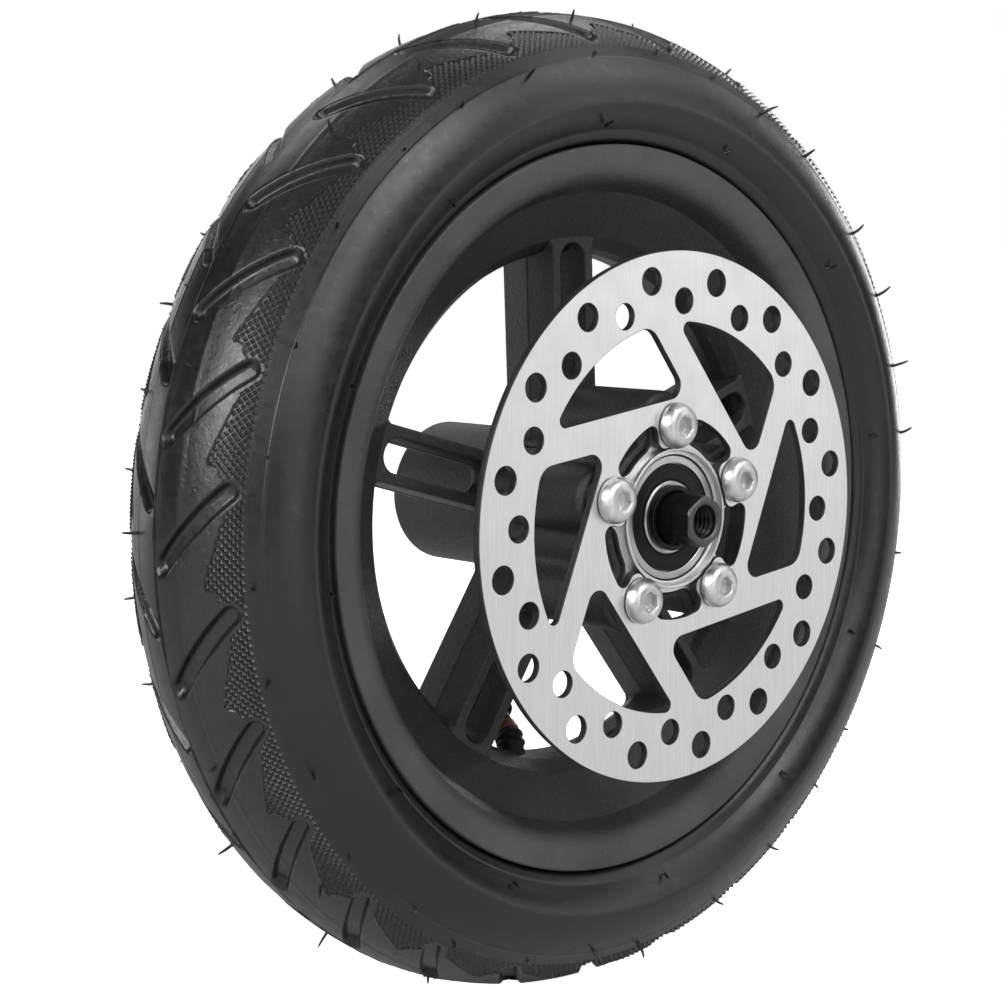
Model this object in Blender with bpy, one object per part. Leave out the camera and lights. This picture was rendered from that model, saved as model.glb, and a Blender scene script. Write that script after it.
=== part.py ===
"""Scooter rear wheel with a brake disc: pneumatic tyre and tube on a cast rim,
running on two ball bearings over a fixed axle.

Frame: origin at the wheel's centre, +Y along the spin axis, +Z up. The brake
disc is on the -Y side, called the front; +Y is the rear. Lengths are in
millimetres and become metres when a mesh is made. Angles are in degrees from
+X towards +Z. Profiles are lists of (radius, y), plate outlines lists of (x, z).
"""

import math

import bmesh
import bpy
from mathutils import Matrix, Vector

MM = 0.001
MERGE_DISTANCE = 0.00001     # metres
DEGENERATE_LENGTH = 0.000001  # metres

# facets around the axis
TYRE_STEPS, RIM_STEPS, HUB_STEPS, DISC_STEPS = 48, 48, 36, 72
TUBE_STEPS, RACE_STEPS, SPACER_STEPS = 28, 20, 16

# five-way pattern shared by bolts, hub arms and spokes
ARMS = 5
ARM_PHASE = 92.4
ARM_SPACING = 360 / ARMS
ARM_ANGLES = [ARM_PHASE - ARM_SPACING * k for k in range(ARMS)]
BOLT_PITCH_RADIUS = 21.0
BOLT_SHANK_RADIUS = 2.85

# bearings (12 x 28 x 8), placed by their centre planes
BEARING_WIDTH = 8.0
FRONT_BEARING_Y = -33.6
REAR_BEARING_Y = 35.4
BEARING_GAP = 0.3
# planes where the hub's shoulders and the spacer tube stop short of the bearings
FRONT_SHOULDER_Y = FRONT_BEARING_Y + BEARING_WIDTH / 2 + BEARING_GAP
REAR_SHOULDER_Y = REAR_BEARING_Y - BEARING_WIDTH / 2 - BEARING_GAP

# ------------------------------------------------------------------ scene
for old in list(bpy.data.objects):
    bpy.data.objects.remove(old, do_unlink=True)

parts = bpy.data.collections.new("scooter_rear_wheel")
cutters = bpy.data.collections.new("cutters")
for group in (parts, cutters):
    bpy.context.scene.collection.children.link(group)
cutters.hide_render = True


# -------------------------------------------------------------- materials
def make_material(name, color, metallic, roughness):
    mat = bpy.data.materials.new(name)
    mat.use_nodes = True
    mat.diffuse_color = (*color, 1.0)
    shader = mat.node_tree.nodes["Principled BSDF"]
    shader.inputs["Base Color"].default_value = (*color, 1.0)
    shader.inputs["Metallic"].default_value = metallic
    shader.inputs["Roughness"].default_value = roughness
    return mat


TYRE_RUBBER = make_material(
    "tyre_rubber", color=(0.035, 0.035, 0.037), metallic=0.0, roughness=0.75)
TUBE_RUBBER = make_material(
    "tube_rubber", color=(0.02, 0.02, 0.02), metallic=0.0, roughness=0.6)
CAST_BLACK = make_material(
    "rim_black", color=(0.03, 0.03, 0.032), metallic=0.2, roughness=0.6)
DISC_STEEL = make_material(
    "disc_steel", color=(0.68, 0.68, 0.68), metallic=1.0, roughness=0.35)
BOLT_ZINC = make_material(
    "bolt_zinc", color=(0.75, 0.75, 0.74), metallic=1.0, roughness=0.3)
BEARING_STEEL = make_material(
    "bearing_steel", color=(0.6, 0.6, 0.6), metallic=1.0, roughness=0.25)
SEAL_RUBBER = make_material(
    "seal_rubber", color=(0.02, 0.02, 0.02), metallic=0.0, roughness=0.5)
AXLE_BLACK = make_material(
    "axle_black", color=(0.04, 0.04, 0.042), metallic=0.6, roughness=0.4)
BRASS = make_material(
    "valve_brass", color=(0.45, 0.28, 0.12), metallic=1.0, roughness=0.4)
PLASTIC = make_material(
    "cap_plastic", color=(0.02, 0.02, 0.02), metallic=0.0, roughness=0.5)


# ----------------------------------------------------------- mesh helpers
def finish_mesh(name, bm, mat, collection):
    """Clean the bmesh and link it as an object; cutters show as wire only."""
    bmesh.ops.remove_doubles(bm, verts=bm.verts, dist=MERGE_DISTANCE)
    bmesh.ops.recalc_face_normals(bm, faces=bm.faces)
    mesh = bpy.data.meshes.new(name)
    bm.to_mesh(mesh)
    bm.free()
    mesh.materials.append(mat)
    obj = bpy.data.objects.new(name, mesh)
    collection.objects.link(obj)
    if collection is cutters:
        obj.display_type = "WIRE"
        obj.hide_render = True
    return obj


def lathe(name, profile, steps, mat, collection=parts, place=None):
    """Profile spun about Y: a closed loop, or open if it starts and ends on the axis."""
    on_axis = profile[0][0] == 0
    bm = bmesh.new()
    points = [bm.verts.new((radius * MM, y * MM, 0.0)) for radius, y in profile]
    ends = points[1:] if on_axis else points[1:] + points[:1]
    edges = [bm.edges.new(pair) for pair in zip(points, ends)]
    bmesh.ops.spin(bm, geom=points + edges, cent=(0, 0, 0), axis=(0, 1, 0),
                   dvec=(0, 0, 0), angle=2 * math.pi, steps=steps,
                   use_merge=True, use_duplicate=False)
    bmesh.ops.remove_doubles(bm, verts=bm.verts, dist=MERGE_DISTANCE)
    if on_axis:
        bmesh.ops.dissolve_degenerate(bm, edges=bm.edges, dist=DEGENERATE_LENGTH)
    if place is not None:
        bmesh.ops.transform(bm, matrix=place, verts=bm.verts)
    return finish_mesh(name, bm, mat, collection)


def add_spline(curve, points, cyclic=False):
    """Straight-sided spline through (x, y, z) points in millimetres."""
    spline = curve.splines.new("POLY")
    spline.points.add(len(points) - 1)
    for target, (x, y, z) in zip(spline.points, points):
        target.co = (x * MM, y * MM, z * MM, 1.0)
    spline.use_cyclic_u = cyclic


def curve_to_bmesh(curve):
    """Evaluate a curve through a temporary object, then delete both."""
    holder = bpy.data.objects.new(curve.name, curve)
    cutters.objects.link(holder)
    bpy.context.view_layer.update()
    graph = bpy.context.evaluated_depsgraph_get()
    mesh = bpy.data.meshes.new_from_object(holder.evaluated_get(graph))
    bm = bmesh.new()
    bm.from_mesh(mesh)
    bpy.data.objects.remove(holder, do_unlink=True)
    bpy.data.curves.remove(curve)
    bpy.data.meshes.remove(mesh)
    return bm


def plate(name, loops, y0, y1, mat, collection=parts, place=None):
    """Flat plate in the XZ plane from y0 to y1: first loop outside, others holes."""
    curve = bpy.data.curves.new(name + "_outline", "CURVE")
    curve.dimensions = "2D"
    curve.fill_mode = "BOTH"
    curve.extrude = abs(y1 - y0) * 0.5 * MM
    for loop in loops:
        add_spline(curve, [(x, z, 0.0) for x, z in loop], cyclic=True)
    bm = curve_to_bmesh(curve)
    stand = (Matrix.Translation((0, 0.5 * (y0 + y1) * MM, 0))
             @ Matrix.Rotation(math.radians(90), 4, "X"))
    bmesh.ops.transform(bm, matrix=stand, verts=bm.verts)
    if place is not None:
        bmesh.ops.transform(bm, matrix=place, verts=bm.verts)
    return finish_mesh(name, bm, mat, collection)


def swept_rod(name, points, radius, bevel_resolution, mat, collection=parts):
    """Round rod along a polyline, ends filled."""
    curve = bpy.data.curves.new(name + "_path", "CURVE")
    curve.dimensions = "3D"
    curve.fill_mode = "FULL"
    curve.bevel_depth = radius * MM
    curve.bevel_resolution = bevel_resolution
    curve.use_fill_caps = True
    add_spline(curve, points)
    return finish_mesh(name, curve_to_bmesh(curve), mat, collection)


def radial_cutter(name, angle, inner, outer, radius, steps, y=0.0):
    """Cylinder pointing away from the wheel's axis, between two distances from it."""
    place = (Matrix.Translation((0, y * MM, 0)) @ about_axis(angle)
             @ Matrix.Rotation(math.radians(90), 4, "Z"))
    return lathe(name, band(0, radius, -outer, -inner), steps, PLASTIC, cutters, place)


def boolean(obj, tool, operation="DIFFERENCE"):
    mod = obj.modifiers.new(f"{operation.lower()}_{tool.name}", "BOOLEAN")
    mod.operation = operation
    mod.solver = "EXACT"
    mod.object = tool


# -------------------------------------------------------- outline helpers
def polar(radius, angle, y=0.0):
    """Point at a radius and angle in the plane at height y."""
    turn = math.radians(angle)
    return Vector((radius * math.cos(turn), y, radius * math.sin(turn)))


def about_axis(angle):
    """Rotation about the wheel's axis, from +X towards +Z."""
    return Matrix.Rotation(-math.radians(angle), 4, "Y")


def rotated(loop, angle):
    cos, sin = math.cos(math.radians(angle)), math.sin(math.radians(angle))
    return [(x * cos - z * sin, x * sin + z * cos) for x, z in loop]


def circle(x, z, radius, sides, phase=0.0):
    turns = [math.radians(phase) + 2 * math.pi * i / sides for i in range(sides)]
    return [(x + radius * math.cos(turn), z + radius * math.sin(turn)) for turn in turns]


def polar_circle(pitch_radius, angle, radius, sides):
    """Circle centred at a pitch radius and angle."""
    centre = polar(pitch_radius, angle)
    return circle(centre.x, centre.z, radius, sides)


def arc(x, z, radius, start, end, steps):
    """steps + 1 points from the start angle to the end angle."""
    turns = [math.radians(start + (end - start) * i / steps) for i in range(steps + 1)]
    return [(x + radius * math.cos(turn), z + radius * math.sin(turn)) for turn in turns]


def stadium(inner, outer, half_width, steps):
    """Slot outline along +X with rounded ends reaching inner and outer."""
    return (arc(outer - half_width, 0, half_width, -90, 90, steps)
            + arc(inner + half_width, 0, half_width, 90, 270, steps))


def hexagon(across_flats):
    return circle(0, 0, across_flats / math.sqrt(3.0), 6, phase=30.0)


def band(inner, outer, y0, y1):
    """Rectangular profile: a plain ring, or a cylinder when inner is 0."""
    return [(inner, y0), (outer, y0), (outer, y1), (inner, y1)]


def flipped(half):
    """The same profile points on the other side of y = 0, in reverse order."""
    return [(radius, -y) for radius, y in reversed(half)]


def mirrored(half):
    return half + flipped(half)


def shell(outer_half, inner_half):
    """Closed profile from the front halves of its outer and inner outlines."""
    return mirrored(outer_half) + flipped(inner_half) + inner_half


# ------------------------------------------------------------------- tyre
TYRE_HALF_WIDTH = 26.85
TYRE_WIDE_RADIUS = 92.83     # radius where the tyre is widest
TYRE_RADIUS = 114.08
TYRE_CROWN_THICKNESS = 6.5
TYRE_WALL = 3.2
TYRE_INSIDE_RADIUS = TYRE_RADIUS - TYRE_CROWN_THICKNESS
CROWN_FLAT_HALF = 0.4
CROWN_EXPONENT_Y, CROWN_EXPONENT_RADIUS = 1.967, 1.571   # superellipse exponents
INSIDE_CROWN_ANGLES = (0, 38, 74)

# (radius, y) from the bead's edge up to the sidewall, outside and inside, front half
TYRE_BEAD_OUTSIDE = [(78.4, -11.2), (78.4, -18.1), (83.4, -18.25), (84.3, -19.4),
                     (84.4, -21.4), (86.8, -24.9)]
TYRE_BEAD_INSIDE = [(81.4, -12.4), (86.5, -20.6)]


def crown_points(half_width, wide_radius, top_radius, angles):
    """Front half of a section from its widest point (0) towards the crown (90)."""
    points = []
    for angle in angles:
        cos, sin = math.cos(math.radians(angle)), math.sin(math.radians(angle))
        rise = sin ** (2 / CROWN_EXPONENT_RADIUS)
        points.append((wide_radius + (top_radius - wide_radius) * rise,
                       -half_width * cos ** (2 / CROWN_EXPONENT_Y)))
    return points


def build_tyre():
    outside = (TYRE_BEAD_OUTSIDE
               + crown_points(TYRE_HALF_WIDTH, TYRE_WIDE_RADIUS, TYRE_RADIUS, (0, 24, 46, 67))
               + [(TYRE_RADIUS, -CROWN_FLAT_HALF)])
    inside = (TYRE_BEAD_INSIDE
              + crown_points(TYRE_HALF_WIDTH - TYRE_WALL, TYRE_WIDE_RADIUS,
                             TYRE_INSIDE_RADIUS, INSIDE_CROWN_ANGLES))
    lathe("tyre", shell(outside, inside[::-1]), TYRE_STEPS, TYRE_RUBBER)


# ------------------------------------------------------------------- tube
# foot: (radius, y) from the rim well up to the sidewall, front half;
# the other values are offsets from the tyre's own section
TUBE_OUTSIDE = dict(foot=[(67.7, -5.0), (80.5, -9.2), (86.9, -17.4)],
                    side_gap=4.6, wide_shift=0.0, crown_gap=1.3)
TUBE_INSIDE = dict(foot=[(69.4, -3.6), (81.4, -7.8), (87.9, -15.8)],
                   side_gap=6.4, wide_shift=0.2, crown_gap=3.1)


def tube_profile(foot, side_gap, wide_shift, crown_gap):
    return mirrored(foot + crown_points(TYRE_HALF_WIDTH - side_gap,
                                        TYRE_WIDE_RADIUS + wide_shift,
                                        TYRE_INSIDE_RADIUS - crown_gap,
                                        INSIDE_CROWN_ANGLES))


def build_tube():
    tube = lathe("inner_tube", tube_profile(**TUBE_OUTSIDE), TUBE_STEPS, TUBE_RUBBER)
    boolean(tube, lathe("cut_tube_inside", tube_profile(**TUBE_INSIDE), TUBE_STEPS,
                        TUBE_RUBBER, cutters))
    boolean(tube, radial_cutter("cut_tube_valve_hole", VALVE_ANGLE, 62.0, 75.0,
                                VALVE_STEM_RADIUS + VALVE_TUBE_CLEARANCE, 12))


# ------------------------------------------------------------------ valve
VALVE_ANGLE = 256.0
VALVE_STEM_RADIUS = 3.85
VALVE_BORE_RADIUS = 1.6
VALVE_RIM_HOLE_RADIUS = 4.3
VALVE_TUBE_CLEARANCE = 0.35
VALVE_START_RADIUS = 71.5    # the stem's end inside the tube
VALVE_BEND_START_RADIUS = 60.0
VALVE_LEAD_IN = 3.0          # extra path point this far before the bend
VALVE_BEND_ANGLE = 55.0
VALVE_BEND_RADIUS = 5.0
VALVE_BEND_STEPS = 4
VALVE_END_LENGTH = 14.0
BORE_START_OVERRUN, BORE_END_OVERRUN = 2.5, 4.0

# (radius, y) along the stem's end, y = 0 at the tip: outside, then the hollow
VALVE_CAP_PROFILE = [(0, 2.2), (3.6, 2.2), (4.9, 0.9), (4.9, -7.4),
                     (4.25, -7.4), (4.25, 1.0), (0, 1.0)]


def valve_path(start_radius, end_length):
    """Centre line of the stem: radially inwards, bent towards +Y, straight."""
    points = [Vector((x, 0, 0)) for x in (start_radius,
                                          VALVE_BEND_START_RADIUS + VALVE_LEAD_IN,
                                          VALVE_BEND_START_RADIUS)]
    for i in range(1, VALVE_BEND_STEPS + 1):
        turn = math.radians(VALVE_BEND_ANGLE * i / VALVE_BEND_STEPS)
        points.append(Vector((VALVE_BEND_START_RADIUS - VALVE_BEND_RADIUS * math.sin(turn),
                              VALVE_BEND_RADIUS * (1 - math.cos(turn)), 0)))
    turn = math.radians(VALVE_BEND_ANGLE)
    points.append(points[-1] + end_length * Vector((-math.cos(turn), math.sin(turn), 0)))
    return [about_axis(VALVE_ANGLE) @ point for point in points]


def build_valve():
    path = valve_path(VALVE_START_RADIUS, VALVE_END_LENGTH)
    stem = swept_rod("valve_stem", path, VALVE_STEM_RADIUS, 2, BRASS)
    bore_path = valve_path(VALVE_START_RADIUS + BORE_START_OVERRUN,
                           VALVE_END_LENGTH + BORE_END_OVERRUN)
    boolean(stem, swept_rod("cut_stem_bore", bore_path, VALVE_BORE_RADIUS, 1, BRASS, cutters))

    # local +Y runs out along the stem's end, origin at its tip
    direction = (path[-1] - path[-2]).normalized()
    at_tip = (Matrix.Translation(path[-1] * MM)
              @ Vector((0, 1, 0)).rotation_difference(direction).to_matrix().to_4x4())
    lathe("valve_core", band(0.95, 1.3, -8.0, -1.0), 10, BRASS, place=at_tip)
    lathe("valve_pin", band(0, 0.6, -8.6, -0.4), 8, BEARING_STEEL, place=at_tip)
    lathe("valve_cap", VALVE_CAP_PROFILE, 14, PLASTIC, place=at_tip)


# ------------------------------------------------------------- rim and hub
LIP_RADIUS = 83.76
LIP_Y = 21.8
LIP_CHAMFER = 0.6
SPIGOT_RADIUS = 16.0
SPIGOT_Y = -38.0
SPIGOT_CHAMFER = 0.3
BARREL_RADIUS = 17.0
BARREL_FRONT_Y, BARREL_REAR_Y = -34.0, 40.0
ARM_FACE_Y, ARM_BACK_Y = -37.4, -6.5
ARM_INNER = 8.0
ARM_HALF = 5.6
SPOKE_FRONT_Y, SPOKE_BACK_Y = -8.2, 9.0
SPOKE_INNER, SPOKE_OUTER = 14.9, 64.3
SPOKE_HALF = 6.5
SLOT_INNER, SLOT_OUTER = 28.5, 61.4
SLOT_HALF = 3.9
SLOT_CUT_Y = 14.0
# the pocket carries the slot further in on the rear side only
POCKET_INNER, POCKET_OUTER = 20.0, SLOT_INNER + 9.0
POCKET_HALF = SLOT_HALF - 0.1
POCKET_FLOOR_Y, POCKET_CUT_Y = -2.0, 13.0
BOLT_HOLE_RADIUS = BOLT_SHANK_RADIUS + 0.3
BOLT_HOLE_DEPTH = 13.0
HUB_CAVITY_RADIUS = 12.5
BEARING_SEAT_RADIUS = 14.3
BOLT_HOLE_OVERRUN, HUB_BORE_OVERRUN = 3.0, 4.0

# (radius, y), front half: tyre side from the lip to the well, then the
# axle side from the middle back out to the lip
RIM_TYRE_SIDE = [(LIP_RADIUS - LIP_CHAMFER, -LIP_Y), (LIP_RADIUS, -LIP_Y + LIP_CHAMFER),
                 (LIP_RADIUS, -19.2), (83.2, -18.7), (78.0, -18.6), (77.7, -12.3),
                 (66.0, -7.0)]
RIM_AXLE_SIDE = [(59.3, -2.6), (60.3, -4.9), (62.9, -8.3), (73.4, -15.4),
                 (75.6, -20.4), (77.0, -LIP_Y)]

# (radius, y) from the front spigot to the rounded rear edge
BARREL_PROFILE = [
    (0, SPIGOT_Y), (SPIGOT_RADIUS - SPIGOT_CHAMFER, SPIGOT_Y),
    (SPIGOT_RADIUS, SPIGOT_Y + SPIGOT_CHAMFER), (SPIGOT_RADIUS, BARREL_FRONT_Y - 1.0),
    (BARREL_RADIUS, BARREL_FRONT_Y), (BARREL_RADIUS, BARREL_REAR_Y - 2.4),
    (BARREL_RADIUS - 0.8, BARREL_REAR_Y - 0.8), (BARREL_RADIUS - 2.4, BARREL_REAR_Y),
    (0, BARREL_REAR_Y)]

# (radius, y): bearing seats at both ends of a narrower cavity
HUB_BORE_PROFILE = [
    (0, SPIGOT_Y - HUB_BORE_OVERRUN), (BEARING_SEAT_RADIUS, SPIGOT_Y - HUB_BORE_OVERRUN),
    (BEARING_SEAT_RADIUS, FRONT_SHOULDER_Y), (HUB_CAVITY_RADIUS, FRONT_SHOULDER_Y),
    (HUB_CAVITY_RADIUS, REAR_SHOULDER_Y), (BEARING_SEAT_RADIUS, REAR_SHOULDER_Y),
    (BEARING_SEAT_RADIUS, BARREL_REAR_Y + HUB_BORE_OVERRUN),
    (0, BARREL_REAR_Y + HUB_BORE_OVERRUN)]


def shape_arm(casting, number, angle):
    """One spoke and hub arm with its slot, pocket and bolt hole."""
    spoke = band(SPOKE_INNER, SPOKE_OUTER, -SPOKE_HALF, SPOKE_HALF)
    arm = stadium(ARM_INNER, BOLT_PITCH_RADIUS + ARM_HALF, ARM_HALF, 6)
    slot = stadium(SLOT_INNER, SLOT_OUTER, SLOT_HALF, 5)
    pocket = stadium(POCKET_INNER, POCKET_OUTER, POCKET_HALF, 5)
    # name, outline along +X, front and rear planes, operation
    features = [
        ("join_spoke", spoke, SPOKE_FRONT_Y, SPOKE_BACK_Y, "UNION"),
        ("join_hub_arm", arm, ARM_FACE_Y, ARM_BACK_Y, "UNION"),
        ("cut_spoke_slot", slot, -SLOT_CUT_Y, SLOT_CUT_Y, "DIFFERENCE"),
        ("cut_spoke_pocket", pocket, POCKET_FLOOR_Y, POCKET_CUT_Y, "DIFFERENCE"),
    ]
    for name, outline, y0, y1, operation in features:
        tool = plate(f"{name}_{number}", [outline], y0, y1, CAST_BLACK, cutters,
                     about_axis(angle))
        boolean(casting, tool, operation)
    hole = polar_circle(BOLT_PITCH_RADIUS, angle, BOLT_HOLE_RADIUS, 10)
    boolean(casting, plate(f"cut_bolt_hole_{number}", [hole], ARM_FACE_Y - BOLT_HOLE_OVERRUN,
                           ARM_FACE_Y + BOLT_HOLE_DEPTH, CAST_BLACK, cutters))


def build_casting():
    casting = lathe("rim_and_hub_casting", shell(RIM_TYRE_SIDE, RIM_AXLE_SIDE),
                    RIM_STEPS, CAST_BLACK)
    barrel = lathe("join_hub_barrel", BARREL_PROFILE, HUB_STEPS, CAST_BLACK, cutters)
    boolean(casting, barrel, "UNION")
    for number, angle in enumerate(ARM_ANGLES, 1):
        shape_arm(casting, number, angle)
    boolean(casting, lathe("cut_hub_bore", HUB_BORE_PROFILE, RACE_STEPS, CAST_BLACK, cutters))
    boolean(casting, radial_cutter("cut_rim_valve_hole", VALVE_ANGLE, 54.0, 72.0,
                                   VALVE_RIM_HOLE_RADIUS, 12))


# ------------------------------------------------------------- brake disc
DISC_RADIUS = 60.0
DISC_FRONT_Y = -39.5
DISC_THICKNESS = 1.8
DISC_BOLT_HOLE_RADIUS = 3.25
DISC_BORE_RADIUS = 16.3
KIDNEY_RADIUS = 22.9         # outer edge of the openings between the lugs
LUG_HALF = 6.5
LUG_FILLET = 1.9
HOLES_PER_RING = 16
# hole radius, pitch radius, angle of the first hole
HOLE_RINGS = [(3.05, 53.9, 99.3), (2.9, 48.75, 88.0)]

WINDOWS = 6
WINDOW_PHASE = -0.1
WINDOW_ARC_RADIUS = 44.1
# straight sides: distance from the centre along the unit normal (x, z)
LONG_SIDE, LONG_NORMAL = -27.0, (-0.9272, 0.3747)
SHORT_SIDE, SHORT_NORMAL = 19.35, (0.1285, -0.9917)
TIP_RADIUS, ROOT_RADIUS, BACK_RADIUS = 1.6, 3.0, 4.5     # corner radii


def corner_on_arc(side, normal, radius, direction):
    """Centre of the corner rounding a straight side into the window's outer arc."""
    height = side - radius
    run = direction * math.sqrt((WINDOW_ARC_RADIUS - radius) ** 2 - height ** 2)
    x, z = normal
    return height * x - run * z, height * z + run * x


def angle_of(point):
    return math.degrees(math.atan2(point[1], point[0]))


def window_outline():
    """Three-sided disc window: long straight side, short straight side, outer arc."""
    tip = corner_on_arc(LONG_SIDE, LONG_NORMAL, TIP_RADIUS, -1)
    back = corner_on_arc(SHORT_SIDE, SHORT_NORMAL, BACK_RADIUS, 1)
    # root: where the two straight sides, moved in by the corner radius, cross
    long_x, long_z = LONG_NORMAL
    short_x, short_z = SHORT_NORMAL
    long_height, short_height = LONG_SIDE - ROOT_RADIUS, SHORT_SIDE - ROOT_RADIUS
    cross = long_x * short_z - long_z * short_x
    root = ((long_height * short_z - short_height * long_z) / cross,
            (long_x * short_height - short_x * long_height) / cross)
    long_angle, short_angle = angle_of(LONG_NORMAL), angle_of(SHORT_NORMAL)
    tip_angle, back_angle = angle_of(tip), angle_of(back)
    return (arc(*tip, TIP_RADIUS, tip_angle, long_angle, 4)
            + arc(*root, ROOT_RADIUS, long_angle, short_angle + 360, 3)
            + arc(*back, BACK_RADIUS, short_angle, back_angle, 3)
            + arc(0, 0, WINDOW_ARC_RADIUS, back_angle, tip_angle, 5)[1:-1])


def centre_outline():
    """Disc bore with the bolt lugs left standing between the kidney openings."""
    lug_angle = math.degrees(math.asin(LUG_HALF / DISC_BORE_RADIUS))
    across = LUG_HALF + LUG_FILLET
    along = math.sqrt((KIDNEY_RADIUS - LUG_FILLET) ** 2 - across ** 2)
    fillet_angle = angle_of((along, across))
    sector = arc(0, 0, DISC_BORE_RADIUS, -lug_angle, lug_angle, 4)
    sector += arc(along, across, LUG_FILLET, 270, 360 + fillet_angle, 3)
    sector += arc(0, 0, KIDNEY_RADIUS, fillet_angle, ARM_SPACING - fillet_angle, 4)[1:-1]
    sector += rotated(arc(along, -across, LUG_FILLET, -fillet_angle, 90, 3), ARM_SPACING)
    return [point for k in range(ARMS)
            for point in rotated(sector, ARM_PHASE + ARM_SPACING * k)]


def build_disc():
    loops = [circle(0, 0, DISC_RADIUS, DISC_STEPS)]
    for k in range(HOLES_PER_RING):
        for radius, pitch_radius, phase in HOLE_RINGS:
            angle = phase - 360 / HOLES_PER_RING * k
            loops.append(polar_circle(pitch_radius, angle, radius, 10))
    for k in range(WINDOWS):
        loops.append(rotated(window_outline(), WINDOW_PHASE + 360 / WINDOWS * k))
    for angle in ARM_ANGLES:
        loops.append(polar_circle(BOLT_PITCH_RADIUS, angle, DISC_BOLT_HOLE_RADIUS, 10))
    loops.append(centre_outline())
    plate("brake_disc", loops, DISC_FRONT_Y, DISC_FRONT_Y + DISC_THICKNESS, DISC_STEEL)


# ------------------------------------------------------------------ bolts
BOLT_HEAD_RADIUS = 5.2
BOLT_HEAD_HEIGHT = 3.2
BOLT_LENGTH = 12.0
BOLT_GAP = 0.3               # between the head and the disc
SOCKET_ACROSS_FLATS = 4.0
SOCKET_DEPTH = 2.0
SOCKET_OVERRUN = 1.5
HEAD_SEAT_Y = DISC_FRONT_Y - BOLT_GAP
HEAD_TOP_Y = HEAD_SEAT_Y - BOLT_HEAD_HEIGHT

# (radius, y) from the domed head's top to the end of the shank
BOLT_PROFILE = [(0, HEAD_TOP_Y), (2.9, HEAD_TOP_Y),
                (4.2, HEAD_SEAT_Y - BOLT_HEAD_HEIGHT * 0.80),
                (BOLT_HEAD_RADIUS, HEAD_SEAT_Y - BOLT_HEAD_HEIGHT * 0.3),
                (BOLT_HEAD_RADIUS, HEAD_SEAT_Y), (BOLT_SHANK_RADIUS, HEAD_SEAT_Y),
                (BOLT_SHANK_RADIUS, HEAD_SEAT_Y + BOLT_LENGTH), (0, HEAD_SEAT_Y + BOLT_LENGTH)]


def build_bolts():
    for number, angle in enumerate(ARM_ANGLES, 1):
        place = Matrix.Translation(polar(BOLT_PITCH_RADIUS, angle) * MM)
        bolt = lathe(f"disc_bolt_{number}", BOLT_PROFILE, 12, BOLT_ZINC, place=place)
        boolean(bolt, plate(f"cut_bolt_socket_{number}", [hexagon(SOCKET_ACROSS_FLATS)],
                            HEAD_TOP_Y - SOCKET_OVERRUN, HEAD_TOP_Y + SOCKET_DEPTH,
                            BOLT_ZINC, cutters, place))


# --------------------------------------------------------------- bearings
RACE_OUTER_RADIUS, RACE_INNER_RADIUS = 14.0, 6.0
RACE_CHAMFER = 0.3
BALLS = 8
BALL_RADIUS = 2.3
BALL_PITCH_RADIUS = (RACE_OUTER_RADIUS + RACE_INNER_RADIUS) / 2
BALL_PHASE = 22.5
POCKET_CLEARANCE = 0.3
SEAL_INNER_RADIUS, SEAL_OUTER_RADIUS = 8.6, 12.15
SEAL_RECESS, SEAL_THICKNESS = 0.3, 0.7
HALF_BEARING = BEARING_WIDTH / 2

# (radius, y) front halves, y = 0 at the bearing's centre plane.
# outer race: from the ball groove, round the seal step, to the outside
OUTER_RACE_HALF = [(12.5, -1.0), (11.6, -2.35), (11.6, -HALF_BEARING + 1.2),
                   (12.45, -HALF_BEARING + 1.2), (12.45, -HALF_BEARING),
                   (RACE_OUTER_RADIUS - RACE_CHAMFER, -HALF_BEARING),
                   (RACE_OUTER_RADIUS, -HALF_BEARING + RACE_CHAMFER)]
# inner race: from the bore to the ball groove
INNER_RACE_HALF = [(RACE_INNER_RADIUS, -HALF_BEARING), (8.0, -HALF_BEARING),
                   (8.3, -HALF_BEARING + RACE_CHAMFER), (8.3, -2.25), (7.45, -0.95)]


def build_bearing(side, centre_y, seal_faces):
    """One bearing; seal_faces names its -Y and +Y seals."""
    def ring(name, profile, mat):
        return lathe(f"{side}_bearing_{name}", profile, RACE_STEPS, mat,
                     place=Matrix.Translation((0, centre_y * MM, 0)))

    ring("outer_race", mirrored(OUTER_RACE_HALF), BEARING_STEEL)
    ring("inner_race", mirrored(INNER_RACE_HALF), BEARING_STEEL)
    seal_starts = (-HALF_BEARING + SEAL_RECESS, HALF_BEARING - SEAL_RECESS - SEAL_THICKNESS)
    for face, y0 in zip(seal_faces, seal_starts):
        ring(f"{face}_seal",
             band(SEAL_INNER_RADIUS, SEAL_OUTER_RADIUS, y0, y0 + SEAL_THICKNESS), SEAL_RUBBER)
    cage = ring("cage", band(9.1, 10.9, -2.75, 1.1), PLASTIC)
    for number in range(1, BALLS + 1):
        angle = 360 / BALLS * (number - 1) + BALL_PHASE
        centre = polar(BALL_PITCH_RADIUS, angle, centre_y) * MM
        bm = bmesh.new()
        bmesh.ops.create_uvsphere(bm, u_segments=8, v_segments=5, radius=BALL_RADIUS * MM)
        bmesh.ops.transform(bm, matrix=Matrix.Translation(centre), verts=bm.verts)
        finish_mesh(f"{side}_bearing_ball_{number}", bm, BEARING_STEEL, parts)
        boolean(cage, radial_cutter(f"cut_{side}_pocket_{number}", angle, 8.0, 12.0,
                                    BALL_RADIUS + POCKET_CLEARANCE, 8, centre_y))


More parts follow.
